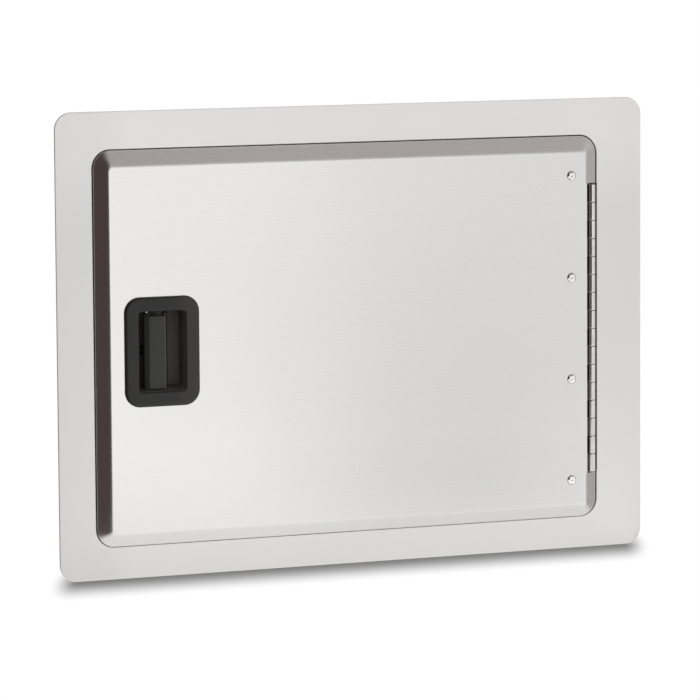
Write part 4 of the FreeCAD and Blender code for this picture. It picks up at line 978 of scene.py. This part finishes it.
def add_latch_bosses(bm, back):
    """Bosses above and below the cup, and behind it the bolt cover's seats and screw bosses."""
    sizes = bpy.context.scene.door_latch
    low, high = cup_edges()[2:]
    boss_left, boss_front = paddle_pivot()[0] - sizes.hub - sizes.cup_wall, PAN_LOW.y + sizes.boss_step
    boss_right, boss_back = boss_left + sizes.boss_width, boss_front + sizes.boss_depth
    overlap, sunk, clearance = 0.0004, 0.001, 0.0002
    for z0, z1 in ((high + overlap, high + sizes.boss), (low - sizes.boss, low + overlap)):
        block(bm, (boss_left, boss_front, z0), (boss_right, boss_back, z1), rounding=0.0005)
    cover_low, cover_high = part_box("bolt_cover")
    bolt_low, bolt_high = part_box("latch_bolt")
    for x in (cover_low.x, cover_high.x - sizes.cover_seat):
        block(bm, (x, back - sunk, bolt_low.z),
              (x + sizes.cover_seat, bolt_low.y - clearance, bolt_high.z), rounding=0.0003)
    for x in (cover_low.x + sizes.screw_side, cover_high.x - sizes.screw_side):
        for z in (cover_low.z + sizes.screw_end, cover_high.z - sizes.screw_end):
            bmesh.ops.create_cone(
                bm, cap_ends=True, segments=32, radius1=sizes.screw_radius, radius2=sizes.screw_radius,
                depth=sizes.screw_depth,
                matrix=Matrix.Translation((x, back + sunk, z)) @ Matrix.Rotation(math.pi / 2, 4, "X"))


def add_floor_relief(bm, floor, back):
    """The sloping pad on the cup's floor and the rib to its left."""
    sizes = bpy.context.scene.door_latch
    right, low, high = cup_edges()[1:]
    play, sunk = 0.0002, 0.0001
    foot, top = low + sizes.draft_bottom + play, high - sizes.draft_top - play
    pad_left = right - sizes.pad
    block(bm, (pad_left, floor - sunk, foot), (right - play, back - sunk, top), lean=-sizes.pad_rise)
    block(bm, (pad_left - sizes.rib, floor - sizes.rib_rise, foot), (pad_left, back - play, top),
          rounding=sizes.rib_rise * 0.92, segments=1)


def build_paddle():
    """Pull paddle: plate with a grip lip, hub on the pin, and the tail that moves the bolt."""
    sizes = bpy.context.scene.door_latch
    bm = bmesh.new()
    low, high = PADDLE_LOW.z, PADDLE_HIGH.z
    left, right = PADDLE_HIGH.x - sizes.paddle_width, PADDLE_HIGH.x
    front = PADDLE_LOW.y
    back = front + sizes.paddle_sheet
    rounding = sizes.paddle_round
    plate_low, plate_high = low - sizes.paddle_drop, high - sizes.paddle_top
    block(bm, (left, front, plate_low), (right, back, plate_high), rounding, segments=5)
    block(bm, (right - sizes.paddle_sheet, back - rounding * 2, low + sizes.paddle_drop),
          (right, back + sizes.grip, plate_high), rounding / 2, segments=3)
    x, y = paddle_pivot()
    hub_low, hub_high, hub_wall = plate_low, high + sizes.paddle_drop, 0.0003
    play_below, play_above = 0.0004, 0.0012
    pocket_low, pocket_high = SPRING_LOW.z - play_below, SPRING_HIGH.z + play_above
    post(bm, (x, y), sizes.hub, hub_low, pocket_low, rounding=0.0004)
    post(bm, (x, y), sizes.hub, pocket_high, hub_high, rounding=0.0004)
    half_sleeve(bm, (x, y), sizes.hub - hub_wall, sizes.hub, pocket_low, pocket_high)
    block(bm, (x - sizes.hub, y - sizes.web, hub_low),
          (left + rounding / 2, y - sizes.hub * 0.5, hub_high), rounding=0.0003, lean=-sizes.web_slope)
    middle = (low + high) / 2
    tail_low, tail_high = middle - sizes.tail_half, middle + sizes.tail_half
    tip_y = PADDLE_HIGH.y - sizes.tail_tip
    block(bm, (x - sizes.tail, y, tail_low), (x + sizes.tail, tip_y, tail_high), rounding=0.0004)
    post(bm, (x, tip_y), sizes.tail_tip, tail_low, tail_high, rounding=0.0003)
    outward(bm)

    def on_hub(face):
        place = face.calc_center_median()
        behind_plate = place.x < left + rounding / 2 and place.y > front + rounding
        return place.x < left or behind_plate

    colour = tuple(bpy.context.scene.door_finish.paddle)
    # Painted highlight: the paddle's right edge is made over three times as pale
    wear_and_painted_sheen = {right - 0.0015: 1.0, right - 0.0011: 3.4}
    material = moulded_plastic("paddle_black_plastic", colour, rough=0.42, grain=1600, tones=wear_and_painted_sheen)
    matt = moulded_plastic("hub_black_plastic", colour, rough=0.9, grain=1600, sheen=0.25)
    finished(
        bm, "pull_paddle", "paddle", material, ["latch_paddle"], second=matt,
        where=on_hub)


def dress_inner_pieces():
    """Finishes for the pieces of the frame that keep their own shape."""
    even = (1, 1, 1)
    level = mill_steel("jamb_mill_steel", "X")
    upright = mill_steel("jamb_upright_mill_steel", "Z")
    zinc = zinc_plate("zinc_plated_steel")
    bright = hinge_steel("bright_pin_steel", even, rough=0.2)
    finishes = {
        "jamb_top": level,
        "jamb_bottom": level,
        "jamb_latch_side": upright,
        "jamb_hinge_side": upright,
        "stop_bumpers": rubber("bumper_rubber", grain=900, depth=0.00005),
        "strike_plate": mill_steel("strike_satin_steel", "Z"),
        "strike_screws": zinc,
        "hinge_pin": hinge_steel("hinge_pin_steel", even, rough=0.2, level=0.35),
        "hinge_spacer": upright,
        "jamb_rivets": bright,
        "door_stiffener_upper": level,
        "door_stiffener_lower": level,
        "hinge_backing_strip": upright,
        "latch_gasket": rubber("gasket_foam", grain=1800, depth=0.00012),
        "latch_clamp_upper": zinc,
        "latch_clamp_lower": zinc,
        "clamp_screws": zinc,
        "bolt_cover": zinc,
        "cover_screws": zinc,
        "paddle_pin": bright,
        "paddle_spring": hinge_steel("spring_wire_steel", even, rough=0.24),
        "latch_bolt": zinc_plate("bolt_zinc_steel"),
    }
    for name, material in finishes.items():
        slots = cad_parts[name].material_slots
        if not slots:
            raise RuntimeError(f"{name} has no material slot")
        for slot in slots:
            slot.material = material


# The stage

def photo_camera():
    """Camera at the photograph's own place, turn and lens."""
    sizes = bpy.context.scene.door_stage
    data = bpy.data.cameras.new("photo_camera")
    data.sensor_width = 36.0
    data.lens = sizes.lens
    data.clip_end = 100.0
    camera = linked("photo_camera", data)
    upright = Matrix.Rotation(math.pi / 2, 4, "X")
    yaw = Matrix.Rotation(-sizes.yaw, 4, "Z")
    pitch = Matrix.Rotation(-sizes.pitch, 4, "X")
    roll = Matrix.Rotation(sizes.roll, 4, "Z")
    camera.matrix_world = Matrix.Translation(sizes.place) @ yaw @ upright @ pitch @ roll
    bpy.context.scene.camera = camera


def seen_directly(tree):
    """One for what the camera, glossy and transmission rays meet, otherwise nought."""
    path = tree.nodes.new("ShaderNodeLightPath")
    found = path.outputs["Is Camera Ray"]
    for ray in ("Is Glossy Ray", "Is Transmission Ray"):
        found = wired(tree, "ShaderNodeMath", found, path.outputs[ray], operation="MAXIMUM").outputs[0]
    return found


def area_light(name, place, target, width, height, power):
    """A soft rectangular lamp that looks at a point and doesn't show in the metal."""
    data = bpy.data.lights.new(name, "AREA")
    data.shape = "RECTANGLE"
    data.size = width
    data.size_y = height
    data.energy = power
    light = linked(name, data)
    turn = (Vector(target) - Vector(place)).to_track_quat("-Z", "Y")
    light.matrix_world = Matrix.Translation(place) @ turn.to_matrix().to_4x4()
    light.visible_glossy = False


def glowing(name, azimuths, tones):
    """A glow that follows the turn of a card through tones at given azimuths."""
    first, last = azimuths
    material = bpy.data.materials.new(name)
    material.use_nodes = True
    tree = material.node_tree
    tree.nodes.clear()
    sweep = wired(tree, "ShaderNodeUVMap")
    sweep.uv_map = "sweep"
    split = wired(tree, "ShaderNodeSeparateXYZ", sweep.outputs["UV"])
    ramp = wired(tree, "ShaderNodeValToRGB", split.outputs["X"])
    fill_ramp(ramp.color_ramp, {(turn - first) / (last - first): tone for turn, tone in tones.items()})
    glow = wired(tree, "ShaderNodeEmission", ramp.outputs["Color"])
    wired(tree, "ShaderNodeOutputMaterial", glow.outputs[0])
    return material


def reflector(name, azimuths, outline, tones, centre_x=0.0):
    """A studio card swept about an upright line and toned along its turn, that only shows in metal."""
    bm = bmesh.new()
    first, last = (math.radians(value) for value in azimuths)
    base = [
        bm.verts.new((centre_x + reach * math.sin(first), -reach * math.cos(first), z))
        for reach, z in outline]
    edges = [bm.edges.new(pair) for pair in zip(base, base[1:])]
    bmesh.ops.spin(
        bm, geom=base + edges, cent=(centre_x, 0, 0), axis=(0, 0, 1), angle=last - first, steps=72,
        use_merge=False)
    layer = bm.loops.layers.uv.new("sweep")
    for face in bm.faces:
        for loop in face.loops:
            turn = math.atan2(loop.vert.co.x - centre_x, -loop.vert.co.y)
            loop[layer].uv = ((turn - first) / (last - first), 0.5)
    card = placed(bm, name, glowing(name, azimuths, tones))
    card.visible_camera = False
    card.visible_diffuse = False
    card.visible_shadow = False
    card.visible_transmission = False


def beyond_painted_shadow(tree, place):
    """Nought in the dark part of the door's shadow, and one where the shadow has faded to white."""
    sizes = bpy.context.scene.door_stage
    slant = wired(
        tree, "ShaderNodeVectorMath", place, (1, -math.tan(sizes.yaw), 0), operation="DOT_PRODUCT")
    split = wired(tree, "ShaderNodeSeparateXYZ", place)
    under = wired(tree, "ShaderNodeCombineXYZ", slant.outputs["Value"], split.outputs["Y"])
    beyond = wired(tree, "ShaderNodeVectorMath", under.outputs["Vector"], operation="ABSOLUTE")
    steps = {"SUBTRACT": (*sizes.shadow_core, 0), "MAXIMUM": (0, 0, 0), "DIVIDE": (*sizes.shadow_fade, 1)}
    for operation, by in steps.items():
        beyond = wired(tree, "ShaderNodeVectorMath", beyond.outputs["Vector"], by, operation=operation)
    far = wired(tree, "ShaderNodeVectorMath", beyond.outputs["Vector"], operation="LENGTH")
    fade = wired(tree, "ShaderNodeMapRange", far.outputs["Value"])
    fade.interpolation_type = "SMOOTHSTEP"
    return fade.outputs["Result"]


def studio_floor():
    """A white floor that keeps the door's soft shadow and fades to plain white."""
    sizes = bpy.context.scene.door_stage
    material = bpy.data.materials.new("studio_floor")
    material.use_nodes = True
    tree = material.node_tree
    shader = tree.nodes["Principled BSDF"]
    shader.inputs["Base Color"].default_value = (*sizes.floor, 1)
    shader.inputs["Roughness"].default_value = 0.9
    shader.inputs["Specular IOR Level"].default_value = 0.0
    white = wired(tree, "ShaderNodeEmission", (1, 1, 1, 1))
    fade = beyond_painted_shadow(tree, tree.nodes.new("ShaderNodeTexCoord").outputs["Object"])
    path = tree.nodes.new("ShaderNodeLightPath")
    in_metal = wired(tree, "ShaderNodeMapRange", path.outputs["Is Glossy Ray"], to_max=sizes.floor_glow)
    level = wired(tree, "ShaderNodeMath", fade, in_metal.outputs["Result"], operation="MAXIMUM")
    part = wired(tree, "ShaderNodeMath", level.outputs[0], seen_directly(tree), operation="MULTIPLY")
    mix = wired(tree, "ShaderNodeMixShader", part.outputs[0], shader.outputs[0], white.outputs[0])
    tree.links.new(mix.outputs[0], tree.nodes["Material Output"].inputs["Surface"])
    bm = bmesh.new()
    bmesh.ops.create_grid(
        bm, x_segments=1, y_segments=1, size=20.0, matrix=Matrix.Translation((0, 0, FLANGE_LOW.z)))
    floor = placed(bm, "studio_floor", material)


def studio_surroundings():
    """White where it is seen, and a plain level of light from all around."""
    sizes = bpy.context.scene.door_stage
    world = bpy.data.worlds.new("studio_surroundings")
    bpy.context.scene.world = world
    world.use_nodes = True
    tree = world.node_tree
    background = tree.nodes["Background"]
    background.inputs["Color"].default_value = (1, 1, 1, 1)
    level = wired(tree, "ShaderNodeMapRange", seen_directly(tree), to_min=sizes.world)
    tree.links.new(level.outputs["Result"], background.inputs["Strength"])


def build_stage():
    """Camera, floor, surroundings, soft lamps and the cards that shape the reflections."""
    sizes = bpy.context.scene.door_stage
    bpy.context.scene.view_settings.view_transform = "Standard"
    photo_camera()
    studio_floor()
    studio_surroundings()
    area_light(
        "softbox_front", place=(1.5, -2.6, 1.3), target=(-0.1, 0, 0), width=1.4, height=1.4,
        power=sizes.softbox)
    area_light(
        "softbox_above", place=(0.2, 0.9, 1.9), target=(0, -0.1, -0.2), width=1.4, height=0.9,
        power=sizes.overhead)
    white, pale, shade = (1, 1, 1), (0.82, 0.82, 0.815), (0.66, 0.66, 0.655)
    grey, lower, dark = (0.42, 0.395, 0.385), (0.36, 0.335, 0.325), (0.062, 0.046, 0.044)
    floor, wall_top, roof = FLANGE_LOW.z + 0.001, 1.4, 6.0
    reach, centre, beside, ahead = 3.2, 0.1, 0.03, 0.35
    reflector(
        "surround_card", (-179, 179), ((reach, floor), (reach, wall_top)),
        {-179: pale, -142: pale, -126: dark, -6: dark, 7: white, 14: white, 31: pale, 62: pale, 78: grey,
         118: grey, 132: pale, 179: pale})
    reflector(
        "top_card", (-179, 179), ((reach, wall_top), (reach, roof), (centre, roof)),
        {-179: pale, -142: pale, -126: dark, -16: dark, 14: lower, 30: lower, 42: grey, 118: grey,
         132: pale, 179: pale})
    reflector(
        "left_floor_card", (-179, 8), ((beside, floor), (reach, floor)),
        {-179: pale, -142: pale, -126: dark, -8: dark, 8: white}, centre_x=FLANGE_LOW.x)
    reflector(
        "front_floor_card", (9, 49), ((ahead, floor), (reach, floor)), {9: pale, 31: shade, 49: pale})
    reflector(
        "right_floor_card", (50, 179), ((beside, floor), (reach, floor)),
        {50: white, 75: grey, 118: grey, 132: pale, 179: pale}, centre_x=FLANGE_HIGH.x - beside)


# The add-on

class DOOR_OT_flange(bpy.types.Operator):
    """Build the flat flange with its rolled opening edge"""

    bl_idname = "access_door.flange"
    bl_label = "Flange"

    def execute(self, context):
        build_flange()
        return {"FINISHED"}


class DOOR_OT_pan(bpy.types.Operator):
    """Build the bevelled door pan"""

    bl_idname = "access_door.pan"
    bl_label = "Door Pan"

    def execute(self, context):
        build_pan()
        return {"FINISHED"}


class DOOR_OT_hinge(bpy.types.Operator):
    """Build the continuous hinge"""

    bl_idname = "access_door.hinge"
    bl_label = "Hinge"

    def execute(self, context):
        build_hinge()
        return {"FINISHED"}


class DOOR_OT_rivets(bpy.types.Operator):
    """Build the blind rivets in the door face"""

    bl_idname = "access_door.rivets"
    bl_label = "Rivets"

    def execute(self, context):
        build_rivets()
        return {"FINISHED"}


class DOOR_OT_latch(bpy.types.Operator):
    """Build the latch bezel and its finger cup"""

    bl_idname = "access_door.latch"
    bl_label = "Latch Bezel"

    def execute(self, context):
        build_latch()
        return {"FINISHED"}


class DOOR_OT_paddle(bpy.types.Operator):
    """Build the pull paddle"""

    bl_idname = "access_door.paddle"
    bl_label = "Pull Paddle"

    def execute(self, context):
        build_paddle()
        return {"FINISHED"}


class DOOR_OT_inner(bpy.types.Operator):
    """Give the jamb, stiffeners and small hardware their finishes"""

    bl_idname = "access_door.inner"
    bl_label = "Inner Pieces"

    def execute(self, context):
        dress_inner_pieces()
        return {"FINISHED"}


class DOOR_OT_stage(bpy.types.Operator):
    """Set up the camera, floor and lights"""

    bl_idname = "access_door.stage"
    bl_label = "Stage"

    def execute(self, context):
        build_stage()
        return {"FINISHED"}


OPERATORS = (
    DOOR_OT_flange, DOOR_OT_pan, DOOR_OT_hinge, DOOR_OT_rivets,
    DOOR_OT_latch, DOOR_OT_paddle, DOOR_OT_inner, DOOR_OT_stage,
)

SETTINGS = {
    "door_flange": FlangeSettings,
    "door_pan": PanSettings,
    "door_hinge": HingeSettings,
    "door_latch": LatchSettings,
    "door_finish": FinishSettings,
    "door_stage": StageSettings,
}


class DOOR_PT_panel(bpy.types.Panel):
    """Lists the pieces and their settings"""

    bl_idname = "DOOR_PT_panel"
    bl_label = "Access Door"
    bl_space_type = "VIEW_3D"
    bl_region_type = "UI"
    bl_category = "Access Door"

    def draw(self, context):
        for operator in OPERATORS:
            self.layout.operator(operator.bl_idname)
        for name, group in SETTINGS.items():
            column = self.layout.column(heading=group.__doc__)
            for prop in group.__annotations__:
                column.prop(getattr(context.scene, name), prop)


def register():
    for name, group in SETTINGS.items():
        bpy.utils.register_class(group)
        setattr(bpy.types.Scene, name, PointerProperty(type=group))
    for operator in OPERATORS:
        bpy.utils.register_class(operator)
    bpy.utils.register_class(DOOR_PT_panel)


def unregister():
    bpy.utils.unregister_class(DOOR_PT_panel)
    for operator in reversed(OPERATORS):
        bpy.utils.unregister_class(operator)
    for name, group in SETTINGS.items():
        delattr(bpy.types.Scene, name)
        bpy.utils.unregister_class(group)


def main():
    """Build everything and note the two boxes."""
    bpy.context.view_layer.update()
    register()
    bpy.ops.access_door.flange()
    bpy.ops.access_door.pan()
    bpy.ops.access_door.hinge()
    bpy.ops.access_door.rivets()
    bpy.ops.access_door.latch()
    bpy.ops.access_door.paddle()
    bpy.ops.access_door.inner()
    bpy.ops.access_door.stage()


if __name__ == "__main__":
    main()
